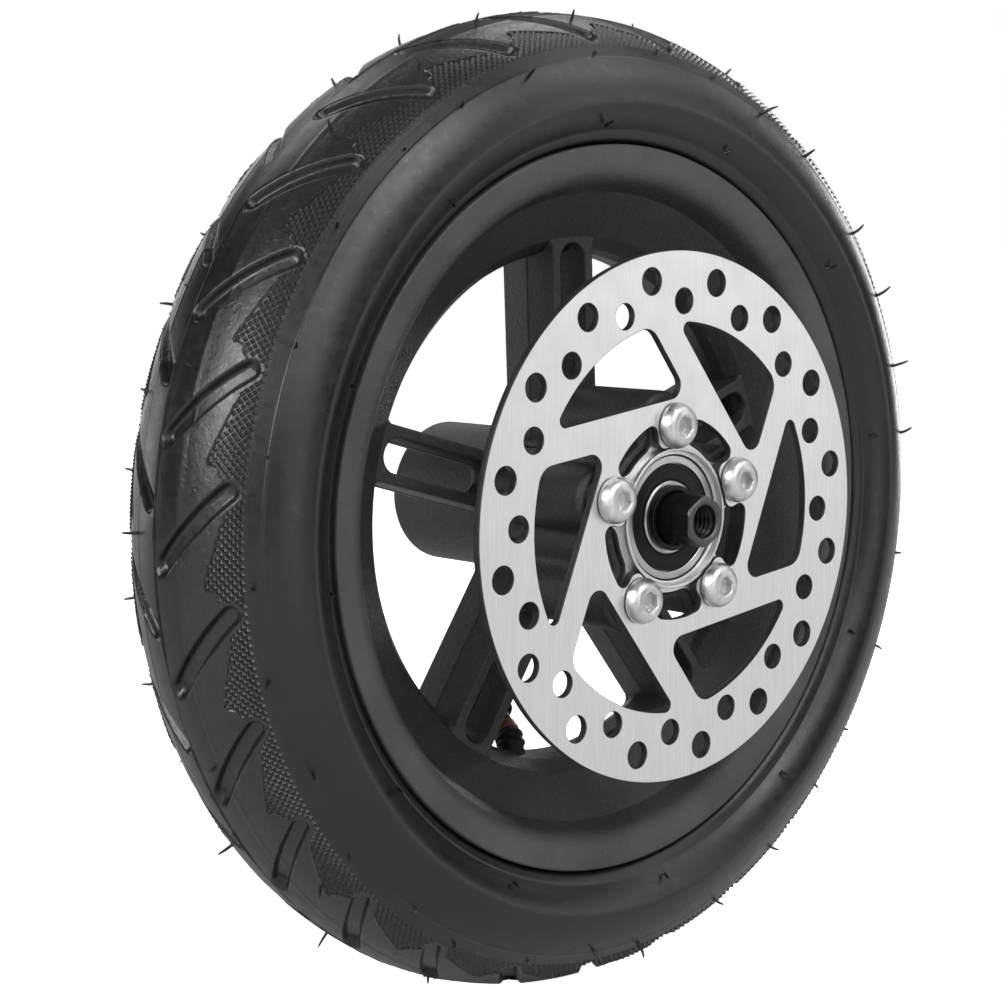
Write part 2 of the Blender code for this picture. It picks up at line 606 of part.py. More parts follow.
# ------------------------------------------------------------------- axle
AXLE_RADIUS = 5.8
AXLE_HALF = 48.35
AXLE_CHAMFER = 0.5
THREAD_RADIUS = 3.4
THREAD_DEPTH = 24.0
HEX_ACROSS_FLATS = 10.6
HEX_LENGTH = 5.5
HEX_CUTTER_RADIUS = 9.0
AXLE_CUT_OVERRUN = 2.0
SLEEVE_BORE_RADIUS = 6.2     # bore of the spacer and collars
SPACER_RADIUS = 8.0
COLLAR_RADIUS = 7.4
COLLAR_THICKNESS = 1.2


def build_axle():
    """Round axle with hexagonal ends, bored from both."""
    half = [(0, -AXLE_HALF), (AXLE_RADIUS - AXLE_CHAMFER, -AXLE_HALF),
            (AXLE_RADIUS, -AXLE_HALF + AXLE_CHAMFER)]
    axle = lathe("axle", mirrored(half), RACE_STEPS, AXLE_BLACK)
    # name, outline loops, depth from the axle's end
    cuts = [("flats", [circle(0, 0, HEX_CUTTER_RADIUS, 20), hexagon(HEX_ACROSS_FLATS)],
             HEX_LENGTH),
            ("thread", [circle(0, 0, THREAD_RADIUS, 14)], THREAD_DEPTH)]
    for end, sign in (("front", -1), ("rear", 1)):
        for name, loops, depth in cuts:
            boolean(axle, plate(f"cut_axle_{end}_{name}", loops,
                                sign * (AXLE_HALF + AXLE_CUT_OVERRUN),
                                sign * (AXLE_HALF - depth), AXLE_BLACK, cutters))


def build_sleeves():
    """Spacer tube between the bearings and a collar outside each."""
    lathe("bearing_spacer_tube",
          band(SLEEVE_BORE_RADIUS, SPACER_RADIUS, FRONT_SHOULDER_Y, REAR_SHOULDER_Y),
          SPACER_STEPS, BEARING_STEEL)
    reach = HALF_BEARING + BEARING_GAP
    for end, y0 in (("front", FRONT_BEARING_Y - reach - COLLAR_THICKNESS),
                    ("rear", REAR_BEARING_Y + reach)):
        lathe(f"{end}_axle_collar",
              band(SLEEVE_BORE_RADIUS, COLLAR_RADIUS, y0, y0 + COLLAR_THICKNESS),
              SPACER_STEPS, AXLE_BLACK)


build_tyre()
build_tube()
build_valve()
build_casting()
build_disc()
build_bolts()
build_bearing("front", FRONT_BEARING_Y, seal_faces=("outside", "inside"))
build_bearing("rear", REAR_BEARING_Y, seal_faces=("inside", "outside"))
build_axle()
build_sleeves()
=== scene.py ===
"""Looks of a scooter rear wheel with a brake disc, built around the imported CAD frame.

The wheel spins about the Y axis through the origin and stands upright, with +Z up. The front
is the -Y side, where the disc sits. Shapes are in millimetres, shader lengths in metres.
Outlines of spun pieces are (radius, y); flat plates lie in the XZ plane.
"""
import math
import random

import bmesh
import bpy
import numpy as np
from mathutils import Matrix, Vector
from mathutils.geometry import tessellate_polygon


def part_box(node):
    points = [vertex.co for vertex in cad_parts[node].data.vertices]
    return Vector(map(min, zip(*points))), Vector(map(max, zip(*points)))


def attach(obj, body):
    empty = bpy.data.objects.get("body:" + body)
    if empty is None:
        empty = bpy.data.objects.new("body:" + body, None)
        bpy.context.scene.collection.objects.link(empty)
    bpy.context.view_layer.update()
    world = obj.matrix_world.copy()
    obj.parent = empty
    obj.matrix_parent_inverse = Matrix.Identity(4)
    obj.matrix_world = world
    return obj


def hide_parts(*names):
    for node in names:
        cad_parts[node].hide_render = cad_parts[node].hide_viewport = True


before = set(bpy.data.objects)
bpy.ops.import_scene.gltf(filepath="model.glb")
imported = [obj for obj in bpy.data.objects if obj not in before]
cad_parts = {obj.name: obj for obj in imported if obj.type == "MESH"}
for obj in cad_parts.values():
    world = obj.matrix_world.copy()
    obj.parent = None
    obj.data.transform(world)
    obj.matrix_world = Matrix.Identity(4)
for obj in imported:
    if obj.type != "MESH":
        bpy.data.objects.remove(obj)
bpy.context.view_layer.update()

MM = 0.001
SIDES = ("front", "rear")
rng = random.Random(7)


def mm_box(node):
    low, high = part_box(node)
    return [c / MM for c in low], [c / MM for c in high]


# ------------------------------------------------ sizes taken from the frame
TYRE_LOW, TYRE_HIGH = mm_box("tyre")
TYRE_R = 0.5 * (TYRE_HIGH[2] - TYRE_LOW[2])
TYRE_HALF_W = 0.5 * (TYRE_HIGH[1] - TYRE_LOW[1])
RIM_LOW, RIM_HIGH = mm_box("rim_and_hub_casting")
LIP_R = 0.5 * (RIM_HIGH[0] - RIM_LOW[0])
SPIGOT_Y, BARREL_REAR_Y = RIM_LOW[1], RIM_HIGH[1]
DISC_LOW, DISC_HIGH = mm_box("brake_disc")
DISC_FRONT_Y, DISC_REAR_Y = DISC_LOW[1], DISC_HIGH[1]
DISC_R = 0.5 * (DISC_HIGH[0] - DISC_LOW[0])
AXLE_LOW, AXLE_HIGH = mm_box("axle")
AXLE_R = 0.5 * (AXLE_HIGH[0] - AXLE_LOW[0])
AXLE_FRONT_Y, AXLE_REAR_Y = AXLE_LOW[1], AXLE_HIGH[1]
BEARING = {side: mm_box(f"{side}_bearing_outer_race") for side in SIDES}


def bolt_place(number):
    """x, z, head end y, shank end y and head radius of one disc bolt."""
    low, high = mm_box(f"disc_bolt_{number}")
    x, z = 0.5 * (low[0] + high[0]), 0.5 * (low[2] + high[2])
    return x, z, low[1], high[1], 0.5 * (high[0] - low[0])


BOLTS = [bolt_place(k + 1) for k in range(5)]
BOLT_PITCH_R = math.hypot(BOLTS[0][0], BOLTS[0][1])
ARM_PHASE = math.degrees(math.atan2(BOLTS[0][1], BOLTS[0][0]))


# ------------------------------------------------------------ mesh helpers
# A shape is (vertices, faces, material index of each face).
def moved(shape, place):
    verts, faces, mats = shape
    matrix = np.array(place)
    return verts @ matrix[:3, :3].T + matrix[:3, 3], faces, mats


def make_object(name, shapes, materials, body, angle, replaces=()):
    """Joins shapes into one smooth object; edges sharper than angle stay sharp."""
    all_verts, all_faces, all_mats, count = [], [], [], 0
    for verts, faces, mats in shapes:
        all_verts.append(verts)
        all_faces.extend([tuple(i + count for i in face) for face in faces])
        all_mats.extend(mats)
        count += len(verts)
    mesh = bpy.data.meshes.new(name)
    mesh.from_pydata((np.concatenate(all_verts) * MM).tolist(), [], all_faces)
    mesh.polygons.foreach_set("material_index", all_mats)
    for material in materials:
        mesh.materials.append(material)
    bm = bmesh.new()
    bm.from_mesh(mesh)
    bmesh.ops.remove_doubles(bm, verts=bm.verts, dist=0.0000004)
    bmesh.ops.dissolve_degenerate(bm, edges=bm.edges, dist=0.0000002)
    bmesh.ops.recalc_face_normals(bm, faces=bm.faces)
    bm.to_mesh(mesh)
    bm.free()
    mesh.polygons.foreach_set("use_smooth", [True] * len(mesh.polygons))
    mesh.set_sharp_from_angle(angle=math.radians(angle))
    obj = bpy.data.objects.new(name, mesh)
    bpy.context.scene.collection.objects.link(obj)
    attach(obj, body)
    if replaces:
        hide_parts(*replaces)


def grid(points, close=True, row_mats=None):
    """Quads over points[around, row]; always closed around, and from last row to first if close."""
    around, rows = points.shape[:2]
    index = np.arange(around * rows).reshape(around, rows)
    ahead = np.roll(index, -1, 0)
    faces, mats = [], []
    for j in range(rows if close else rows - 1):
        k = (j + 1) % rows
        corners = (index[:, j], ahead[:, j], ahead[:, k], index[:, k])
        faces.extend(zip(*(c.tolist() for c in corners)))
        mats.extend([row_mats[j] if row_mats else 0] * around)
    return points.reshape(-1, 3), faces, mats


def spun(profile, count, close=True, at=(0.0, 0.0), row_mats=None):
    """Profile spun about an axis along Y through at = (x, z).

    Rows are (r, y) or (r, y, shape), where shape(r, y, angles) gives the radii of that ring.
    """
    angles = 2 * math.pi * np.arange(count) / count
    points = np.zeros((count, len(profile), 3))
    for j, (r, y, *rest) in enumerate(profile):
        radii = rest[0](r, y, angles) if rest and rest[0] else r
        points[:, j, 0] = at[0] + radii * np.cos(angles)
        points[:, j, 1] = y
        points[:, j, 2] = at[1] + radii * np.sin(angles)
    return grid(points, close, row_mats)


def mirrored(rows):
    """Profile rows reversed and reflected in the centre plane."""
    return [(r, -y, *rest) for r, y, *rest in reversed(rows)]


def rounded(corners, closed=True, steps=5):
    """Corners given as (r, y, fillet) become arcs; (r, y) stays sharp."""
    out, count = [], len(corners)
    for i, corner in enumerate(corners):
        fillet = corner[2] if len(corner) > 2 else 0.0
        here = np.array(corner[:2], float)
        if fillet <= 0 or (not closed and i in (0, count - 1)):
            out.append(tuple(here))
            continue
        back = np.array(corners[i - 1][:2], float) - here
        ahead = np.array(corners[(i + 1) % count][:2], float) - here
        back_length, ahead_length = np.linalg.norm(back), np.linalg.norm(ahead)
        back, ahead = back / back_length, ahead / ahead_length
        half = 0.5 * math.acos(float(np.clip(back @ ahead, -1, 1)))
        if half > 1.55:  # nearly straight
            out.append(tuple(here))
            continue
        cut = min(fillet / math.tan(half), 0.49 * back_length, 0.49 * ahead_length)
        radius = cut * math.tan(half)
        middle = (back + ahead) / np.linalg.norm(back + ahead)
        centre = here + middle * (radius / math.sin(half))
        start, end = here + back * cut - centre, here + ahead * cut - centre
        total = math.acos(float(np.clip(start @ end / (radius * radius), -1, 1)))
        for s in range(steps + 1):
            t = s / steps
            spoke = math.sin((1 - t) * total) * start + math.sin(t * total) * end
            out.append(tuple(centre + spoke / math.sin(total)))
    return out


def signed_area(loop):
    x, z = loop[:, 0], loop[:, 1]
    return 0.5 * float(np.sum(x * np.roll(z, -1) - np.roll(x, -1) * z))


def inset(loop, distance):
    """Counter-clockwise loop moved inwards by distance, with mitred corners."""
    before = loop - np.roll(loop, 1, 0)
    after = np.roll(loop, -1, 0) - loop
    before /= np.linalg.norm(before, axis=1)[:, None]
    after /= np.linalg.norm(after, axis=1)[:, None]
    n1 = np.stack([-before[:, 1], before[:, 0]], 1)
    n2 = np.stack([-after[:, 1], after[:, 0]], 1)
    return loop + distance * (n1 + n2) / (1.0 + np.sum(n1 * n2, 1))[:, None]


def slab_profile(y0, y1, round0, round1, steps=4, middle=(), support=0.2):
    """(inset, y) rows of a plate edge with quarter rounds and a support ring on each face."""
    turns = [math.sin(0.5 * math.pi * i / steps) for i in range(steps + 1)]
    rises = [1 - math.cos(0.5 * math.pi * i / steps) for i in range(steps + 1)]
    low = [(round0 * (1 - s), y0 + round0 * c) for s, c in zip(turns, rises)]
    high = [(round1 * (1 - s), y1 - round1 * c) for s, c in zip(turns, rises)]
    return [(round0 + support, y0), *low, *middle, *high[::-1], (round1 + support, y1)]


def slab(loops, profile, side=0, first=0, last=0):
    """Plate from (x, z) loops, first loop outside, the rest holes; profile is (inset, y).

    side, first and last are the materials of the wall and of the first and last faces.
    """
    verts, faces, mats, base = [], [], [], 0
    first_caps, last_caps = [], []
    steps = len(profile) - 1
    for number, loop in enumerate(loops):
        loop = np.asarray(loop, float)
        loop = loop[np.linalg.norm(loop - np.roll(loop, 1, 0), axis=1) > 1e-4]
        if (signed_area(loop) > 0) != (number == 0):
            loop = loop[::-1]
        count = len(loop)
        rings = [inset(loop, distance) for distance, _ in profile]
        for (_, y), ring in zip(profile, rings):
            verts.append(np.stack([ring[:, 0], np.full(count, y), ring[:, 1]], 1))
        for j in range(steps):
            a, b = base + j * count, base + (j + 1) * count
            material = first if j == 0 else last if j == steps - 1 else side
            for i in range(count):
                k = (i + 1) % count
                faces.append((a + i, a + k, b + k, b + i))
                mats.append(material)
        first_caps.append((base, rings[0]))
        last_caps.append((base + steps * count, rings[-1]))
        base += count * len(profile)
    for caps, material in ((first_caps, first), (last_caps, last)):
        flat = [start + i for start, ring in caps for i in range(len(ring))]
        for triangle in tessellate_polygon([[Vector((x, z, 0)) for x, z in r] for _, r in caps]):
            faces.append(tuple(flat[i] for i in triangle))
            mats.append(material)
    return np.concatenate(verts), faces, mats


def circle(x, z, radius, count):
    angles = 2 * math.pi * np.arange(count) / count
    return np.stack([x + radius * np.cos(angles), z + radius * np.sin(angles)], 1)


def arc(x, z, radius, start, end, steps):
    """Arc from start to end degrees."""
    angles = np.radians(np.linspace(start, end, steps + 1))
    return np.stack([x + radius * np.cos(angles), z + radius * np.sin(angles)], 1)


def on_circle(radius, degrees):
    angle = math.radians(degrees)
    return radius * math.cos(angle), radius * math.sin(angle)


def fillet_centre(reach, height):
    """x and angle in degrees of the point at this height and this reach from the axis."""
    x = math.sqrt(reach ** 2 - height ** 2)
    return x, math.degrees(math.atan2(height, x))


def turned(loop, degrees):
    c, s = on_circle(1.0, degrees)
    return loop @ np.array([[c, s], [-s, c]])


def sweep(path, radii, count, bore=None, twist=None):
    """Tube along a dense path; bore makes it hollow, twist(i, angles) adds to outer radii."""
    path = [Vector(p) for p in path]
    last = len(path) - 1
    tangents = [(path[min(i + 1, last)] - path[max(i - 1, 0)]).normalized()
                for i in range(len(path))]
    side = tangents[0].orthogonal().normalized()
    angles = 2 * math.pi * np.arange(count) / count
    frames = []
    for point, tangent in zip(path, tangents):
        side = (side - tangent * side.dot(tangent)).normalized()
        frames.append([np.array(v) for v in (point, side, tangent.cross(side))])

    def ring(i, radius, shaped):
        point, u, w = frames[i]
        rr = radius + (twist(i, angles) if shaped else np.zeros(count))
        return point + np.outer(rr * np.cos(angles), u) + np.outer(rr * np.sin(angles), w)

    rings = [ring(i, radius, twist is not None) for i, radius in enumerate(radii)]
    if bore:
        rings += [ring(i, bore, False) for i in range(last, -1, -1)]
        return grid(np.stack(rings, 1))
    ends = [np.tile(np.array(path[i]), (count, 1)) for i in (0, -1)]
    return grid(np.stack([ends[0]] + rings + [ends[1]], 1), False)


# --------------------------------------------------------------- materials
def scaled(colour, factor):
    return tuple(c * factor for c in colour)


class Shader:
    """Principled material whose textures follow object coordinates."""

    def __init__(self, name, metallic=0.0, rough=0.5):
        self.mat = bpy.data.materials.new(name)
        self.mat.use_nodes = True
        self.tree = self.mat.node_tree
        self.bsdf = self.tree.nodes["Principled BSDF"]
        self.bsdf.inputs["Metallic"].default_value = metallic
        self.bsdf.inputs["Roughness"].default_value = rough
        self.coord = self.node("ShaderNodeTexCoord").outputs["Object"]
        self.normal = None

    def node(self, kind, **props):
        node = self.tree.nodes.new(kind)
        for key, value in props.items():
            setattr(node, key, value)
        return node

    def link(self, source, target):
        self.tree.links.new(source, target)

    def xyz(self):
        node = self.node("ShaderNodeSeparateXYZ")
        self.link(self.coord, node.inputs[0])
        return node.outputs

    def stretched(self, x, y, z):
        node = self.node("ShaderNodeVectorMath", operation="MULTIPLY")
        self.link(self.coord, node.inputs[0])
        node.inputs[1].default_value = (x, y, z)
        return node.outputs["Vector"]

    def noise(self, scale=1.0, detail=4.0, rough=0.55, vector=None, distortion=0.0):
        node = self.node("ShaderNodeTexNoise")
        node.inputs["Scale"].default_value = scale
        node.inputs["Detail"].default_value = detail
        node.inputs["Roughness"].default_value = rough
        node.inputs["Distortion"].default_value = distortion
        self.link(vector or self.coord, node.inputs["Vector"])
        return node.outputs["Fac"]

    def cells(self, scale):
        node = self.node("ShaderNodeTexVoronoi")
        node.inputs["Scale"].default_value = scale
        self.link(self.coord, node.inputs["Vector"])
        return node.outputs["Distance"]

    def math(self, operation, a, b=None):
        node = self.node("ShaderNodeMath", operation=operation)
        self.link(a, node.inputs[0])
        if isinstance(b, float):
            node.inputs[1].default_value = b
        elif b is not None:
            self.link(b, node.inputs[1])
        return node.outputs[0]

    def times(self, a, b):
        return self.math("MULTIPLY", a, b)

    def plus(self, a, b):
        return self.math("ADD", a, b)

    def ramp(self, value, span, to=(0.0, 1.0)):
        """Maps the span of value onto the range to."""
        node = self.node("ShaderNodeMapRange")
        node.inputs["From Min"].default_value, node.inputs["From Max"].default_value = span
        node.inputs["To Min"].default_value, node.inputs["To Max"].default_value = to
        self.link(value, node.inputs["Value"])
        return node.outputs["Result"]

    def mix(self, factor, a, b):
        node = self.node("ShaderNodeMix", data_type="RGBA")
        self.link(factor, node.inputs[0])
        for i, colour in ((6, a), (7, b)):
            if isinstance(colour, tuple):
                node.inputs[i].default_value = (*colour, 1.0)
            else:
                self.link(colour, node.inputs[i])
        return node.outputs[2]

    def axis_radius(self):
        """Distance from the spin axis."""
        xyz = self.xyz()
        x_squared = self.math("POWER", xyz["X"], 2.0)
        return self.math("SQRT", self.plus(x_squared, self.math("POWER", xyz["Z"], 2.0)))

    def polar(self, radial, around, along):
        """Scaled radius, angle and y, so that texture follows the turning direction."""
        xyz = self.xyz()
        angle = self.math("ARCTAN2", xyz["Z"], xyz["X"])
        node = self.node("ShaderNodeCombineXYZ")
        self.link(self.times(self.axis_radius(), radial), node.inputs[0])
        self.link(self.times(angle, around), node.inputs[1])
        self.link(self.times(xyz["Y"], along), node.inputs[2])
        return node.outputs[0]

    def color(self, value):
        self.link(value, self.bsdf.inputs["Base Color"])

    def rough(self, value):
        self.link(value, self.bsdf.inputs["Roughness"])

    def bump(self, height, distance, strength=1.0):
        """Adds a bump on top of those already there."""
        node = self.node("ShaderNodeBump")
        node.inputs["Strength"].default_value = strength
        node.inputs["Distance"].default_value = distance
        self.link(height, node.inputs["Height"])
        if self.normal is not None:
            self.link(self.normal, node.inputs["Normal"])
        self.normal = node.outputs["Normal"]
        self.link(self.normal, self.bsdf.inputs["Normal"])


def rubber(name, dark, pale, rough, grain=0.00004, tread=None, specular=0.5):
    """Dusty rubber; tread = (colour, roughness drop) adds a glossy band on each tread half, with a
    paler colour that is painted sheen.
    """
    sh = Shader(name)
    broad = sh.noise(scale=28, detail=5)
    medium = sh.noise(scale=420, detail=6, rough=0.6)
    fine = sh.noise(scale=3600, detail=3, rough=0.6)
    tone = sh.mix(sh.ramp(broad, span=(0.35, 0.68)), dark, pale)
    dust = sh.times(sh.noise(scale=90, detail=8, rough=0.7), medium)
    dust = sh.ramp(dust, span=(0.3, 0.42), to=(0.0, 0.35))
    tone = sh.mix(dust, tone, scaled(pale, 2.0))
    roughness = sh.plus(sh.ramp(medium, span=(0.35, 0.65), to=rough),
                        sh.ramp(fine, span=(0.3, 0.7), to=(-0.04, 0.05)))
    sh.bump(fine, distance=grain)
    sh.bump(medium, distance=0.00007, strength=0.5)
    if tread:
        tread_sheen_tone, gloss_drop = tread
        y = sh.math("ABSOLUTE", sh.xyz()["Y"])
        zone = sh.times(sh.ramp(y, span=(0.0066, 0.0076)),
                        sh.ramp(y, span=(0.0192, 0.0204), to=(1.0, 0.0)))
        zone = sh.times(zone, sh.ramp(sh.axis_radius(), span=(0.095, 0.098)))
        leather = sh.noise(scale=650, rough=0.6, distortion=1.2)
        gloss_and_sheen = sh.times(zone, sh.ramp(leather, span=(0.3, 0.65), to=(0.3, 1.0)))
        # Paler colour in the glossy band: painted sheen on top of the real drop in roughness.
        tone = sh.mix(sh.times(gloss_and_sheen, 0.8), tone, tread_sheen_tone)
        roughness = sh.math("SUBTRACT", roughness, sh.times(gloss_and_sheen, gloss_drop))
        sh.bump(sh.times(leather, zone), distance=0.00016, strength=0.7)
        around_tread = sh.polar(radial=2600.0, around=26.0, along=900.0)
        scuff = sh.noise(detail=5, rough=0.7, vector=around_tread)
        sh.bump(sh.times(scuff, zone), distance=0.00006, strength=0.5)
    sh.color(tone)
    sh.rough(roughness)
    sh.bsdf.inputs["Specular IOR Level"].default_value = specular
    return sh.mat


def cast_paint(name, dark, pale, lit_lip_dark, lit_lip_pale):
    """Gritty paint; the paler pair of tones on the rim lips is painted light, for the light the
    flat lips catch.
    """
    grit = 0.00012  # bump distance of the sandy grain
    sh = Shader(name)
    broad = sh.noise(scale=45)
    grain = sh.noise(scale=1500, rough=0.65)
    sand = sh.cells(scale=2100)
    y = sh.math("ABSOLUTE", sh.xyz()["Y"])
    # Mask of the flat rim lips, where paler tones paint in the light they catch.
    painted_lit_lip = sh.times(sh.ramp(y, span=(0.0175, 0.0214)),
                   sh.ramp(sh.axis_radius(), span=(0.0735, 0.0765)))
    shade = sh.ramp(broad, span=(0.35, 0.65))
    tone = sh.mix(painted_lit_lip, sh.mix(shade, dark, pale), sh.mix(shade, lit_lip_dark, lit_lip_pale))
    speck = sh.ramp(sh.noise(scale=2600, detail=2, rough=0.5), span=(0.62, 0.72), to=(0.0, 0.5))
    sh.color(sh.mix(speck, tone, scaled(lit_lip_pale, 1.9)))
    sh.rough(sh.ramp(grain, span=(0.3, 0.7), to=(0.38, 0.6)))
    sh.bump(sand, distance=grit, strength=0.55)
    sh.bump(grain, distance=grit, strength=0.8)
    sh.bump(sh.noise(scale=700, detail=3, rough=0.7), distance=0.0002, strength=0.45)
    sh.bump(sh.noise(scale=160, detail=3), distance=0.0002, strength=0.5)
    return sh.mat


def turned_metal(name, base, rough, rings=5200.0, depth=0.000012, metallic=1.0, tint=0.12,
                 pits=0.0):
    """Metal with lathe lines; rings is their density, depth and pits are bump distances."""
    sh = Shader(name, metallic, rough)
    lines = sh.noise(detail=3, rough=0.6, vector=sh.polar(radial=rings, around=1.2, along=rings))
    spots = sh.noise(scale=240, detail=6, rough=0.65)
    tone = sh.mix(sh.ramp(spots, span=(0.35, 0.7)), scaled(base, 1 - tint), base)
    line_mix = sh.ramp(lines, span=(0.3, 0.7), to=(0.0, 0.35))
    sh.color(sh.mix(line_mix, tone, scaled(base, 1 - 2 * tint)))
    sh.rough(sh.plus(sh.ramp(lines, span=(0.3, 0.7), to=(rough * 0.8, rough * 1.25)),
                     sh.ramp(spots, span=(0.4, 0.7), to=(-0.02, 0.06))))
    sh.bump(lines, distance=depth)
    if pits:
        sh.bump(sh.noise(scale=900, rough=0.7), distance=pits)
        sh.bump(sh.noise(scale=330, detail=3, rough=0.6), distance=pits * 2)
    return sh.mat


def brushed_plate(name, base, rough):
    """Steel brushed along Z, with faint warm stains."""
    sh = Shader(name, 1.0, rough)
    lines = sh.noise(rough=0.7, vector=sh.stretched(x=7000, y=900, z=90))
    wide = sh.noise(detail=3, rough=0.6, vector=sh.stretched(x=900, y=200, z=25))
    spots = sh.noise(scale=130, detail=6, rough=0.6)
    tone = sh.mix(sh.ramp(lines, span=(0.35, 0.65)), scaled(base, 0.8), base)
    wide_mix = sh.ramp(wide, span=(0.35, 0.7), to=(0.0, 0.3))
    tone = sh.mix(wide_mix, tone, scaled(base, 0.86))
    stain = sh.ramp(spots, span=(0.62, 0.8), to=(0.0, 0.35))
    stain_tone = (base[0] * 0.75, base[1] * 0.72, base[2] * 0.68)
    sh.color(sh.mix(stain, tone, stain_tone))
    sh.rough(sh.plus(sh.ramp(lines, span=(0.3, 0.7), to=(rough - 0.05, rough + 0.1)),
                     sh.ramp(spots, span=(0.4, 0.8), to=(0.0, 0.08))))
    sh.bump(lines, distance=0.000014, strength=0.8)
    sh.bump(wide, distance=0.00002, strength=0.4)
    return sh.mat


def plastic(name, base, rough):
    sh = Shader(name)
    fine = sh.noise(scale=2600, detail=3, rough=0.6)
    medium = sh.noise(scale=300)
    tone = sh.ramp(medium, span=(0.3, 0.7))
    sh.color(sh.mix(tone, scaled(base, 0.8), scaled(base, 1.3)))
    sh.rough(sh.ramp(medium, span=(0.3, 0.7), to=(rough - 0.08, rough + 0.1)))
    sh.bump(fine, distance=0.00002)
    return sh.mat


# The tread colour below is painted sheen, paler than the rest of the rubber.
RUBBER = rubber("tyre_rubber_look", dark=(0.005, 0.005, 0.0053), pale=(0.009, 0.009, 0.0094),
                rough=(0.28, 0.38), grain=0.00003, tread=((0.020, 0.020, 0.021), 0.04))
# Same rubber as the tyre, made paler: painted sheen for the light the knurl points catch.
SHEENED_KNURL = rubber("tyre_knurl_look", dark=(0.009, 0.009, 0.0094), pale=(0.018, 0.018, 0.0188),
               rough=(0.24, 0.34), grain=0.00002)
TUBE = rubber("tube_rubber_look", dark=(0.012, 0.012, 0.012), pale=(0.018, 0.018, 0.018),
              rough=(0.35, 0.5))
# The lip tones are painted light: the flat rim lips are made paler to look lit.
CAST = cast_paint("cast_black_look", dark=(0.012, 0.012, 0.0125), pale=(0.021, 0.021, 0.022),
                  lit_lip_dark=(0.040, 0.040, 0.041), lit_lip_pale=(0.066, 0.066, 0.068))
BARE = turned_metal("machined_face_look", base=(0.76, 0.76, 0.75), rough=0.36, rings=4200.0,
                    depth=0.00003, tint=0.2)
DISC = brushed_plate("disc_steel_look", base=(0.80, 0.80, 0.79), rough=0.34)
DISC_EDGE = turned_metal("disc_edge_look", base=(0.09, 0.09, 0.092), rough=0.45, rings=2600.0,
                         depth=0.00001, metallic=0.8, tint=0.2)
ZINC = turned_metal("bolt_zinc_look", base=(0.83, 0.83, 0.82), rough=0.4, rings=900.0,
                    depth=0.00002, tint=0.3, pits=0.00007)
RACE = turned_metal("bearing_steel_look", base=(0.50, 0.50, 0.50), rough=0.34)
SEAL = rubber("seal_rubber_look", dark=(0.004, 0.004, 0.004), pale=(0.007, 0.007, 0.007),
              rough=(0.5, 0.6), grain=0.00002, specular=0.25)
BLACKED = turned_metal("axle_black_look", base=(0.016, 0.016, 0.017), rough=0.36, rings=3800.0,
                       depth=0.000014, metallic=0.8, tint=0.2)
AXLE_TIP = turned_metal("axle_tip_look", base=(0.11, 0.11, 0.115), rough=0.42, rings=3800.0,
                        depth=0.000014, metallic=0.8, tint=0.2)
COPPER = turned_metal("valve_brass_look", base=(0.25, 0.10, 0.065), rough=0.42, rings=2600.0,
                      depth=0.00001, metallic=0.8, tint=0.2)
BRASS = turned_metal("valve_core_look", base=(0.62, 0.45, 0.20), rough=0.3, rings=2600.0,
                     depth=0.00001)
CAP = plastic("cap_plastic_look", base=(0.014, 0.014, 0.014), rough=0.4)
CAGE = plastic("cage_plastic_look", base=(0.030, 0.024, 0.018), rough=0.5)


# ------------------------------------------------------------------- tyre
# "offset" is the distance in mm from the centre plane; side is -1 at the front, +1 at the rear.
WIDE_R = 92.83                # radius of the widest point
CROWN_POWERS = 1.967, 1.571   # superellipse powers along y and along the radius
SECTORS = 27
PITCH = 360.0 / SECTORS       # degrees; rear grooves are half a pitch on from the front ones
GROOVE_PHASE = 173.4          # degrees; where a front groove crosses offset SHEAR_REF
GROOVE_OUT, GROOVE_IN = {-1: 16.9, 1: 16.3}, {-1: 2.7, 1: 2.2}  # offsets of the ends
GROOVE_HALF, GROOVE_DEPTH = 2.25, 1.9
GROOVE_R = 111.0              # radius at which groove angles become lengths
# Mesh columns lean with the grooves: 8.6 degrees over 15 mm, constant past SHEAR_END.
SHEAR_REF, SHEAR_RATE, SHEAR_END = 17.2, 8.6 / 15.0, 19.4
DENSE_TO = 20.1               # rows closer to the centre plane have every column

# (radius, offset) down a sidewall, from the bead's inner edge to the widest point
SIDEWALL = [(78.6, 11.6), (78.4, 15.0), (78.6, 17.9), (81.5, 18.2), (83.7, 18.45),
            (84.05, 19.2), (84.15, 20.3), (84.45, 21.0), (84.95, 21.6), (85.5, 21.95),
            (86.05, 22.3), (86.35, 22.45), (86.6, 22.42), (87.1, 22.95), (87.9, 23.8),
            (88.9, 24.7), (90.0, 25.5), (91.1, 26.15), (92.1, 26.6), (93.0, 26.85),
            (93.8, 26.82)]
SHOULDER_DEGREES = (8, 11, 14, 17, 20, 22.5, 25, 27.5)
TREAD_OFFSETS = [23.2, 22.5, 22.32, 22.2, 22.08, 21.9, 21.0, 20.0, *np.linspace(19.3, 14.3, 14),
                 12.9, 11.4, 9.9, 8.5, 7.15, 7.0, 6.85, 6.0, *np.linspace(5.1, 0.35, 13)]
# Raised lines round the tread: offset -> height
RIDGES = {22.32: 0.03, 22.2: 0.11, 22.08: 0.03, 7.0: 0.06}
# (radius, y) of the inside surface, from the rear bead to the crown
LINING = [(81.6, 12.4), (87.2, 20.4), (93.4, 23.6), (101.0, 20.6), (106.2, 11.0), (107.58, 0.0)]


def crown_r(offset):
    """Tyre radius on the tread side of the widest point."""
    c = (min(abs(offset), TYRE_HALF_W) / TYRE_HALF_W) ** (CROWN_POWERS[0] / 2)
    height = math.sqrt(max(0.0, 1 - c * c)) ** (2 / CROWN_POWERS[1])
    return WIDE_R + (TYRE_R - WIDE_R) * height


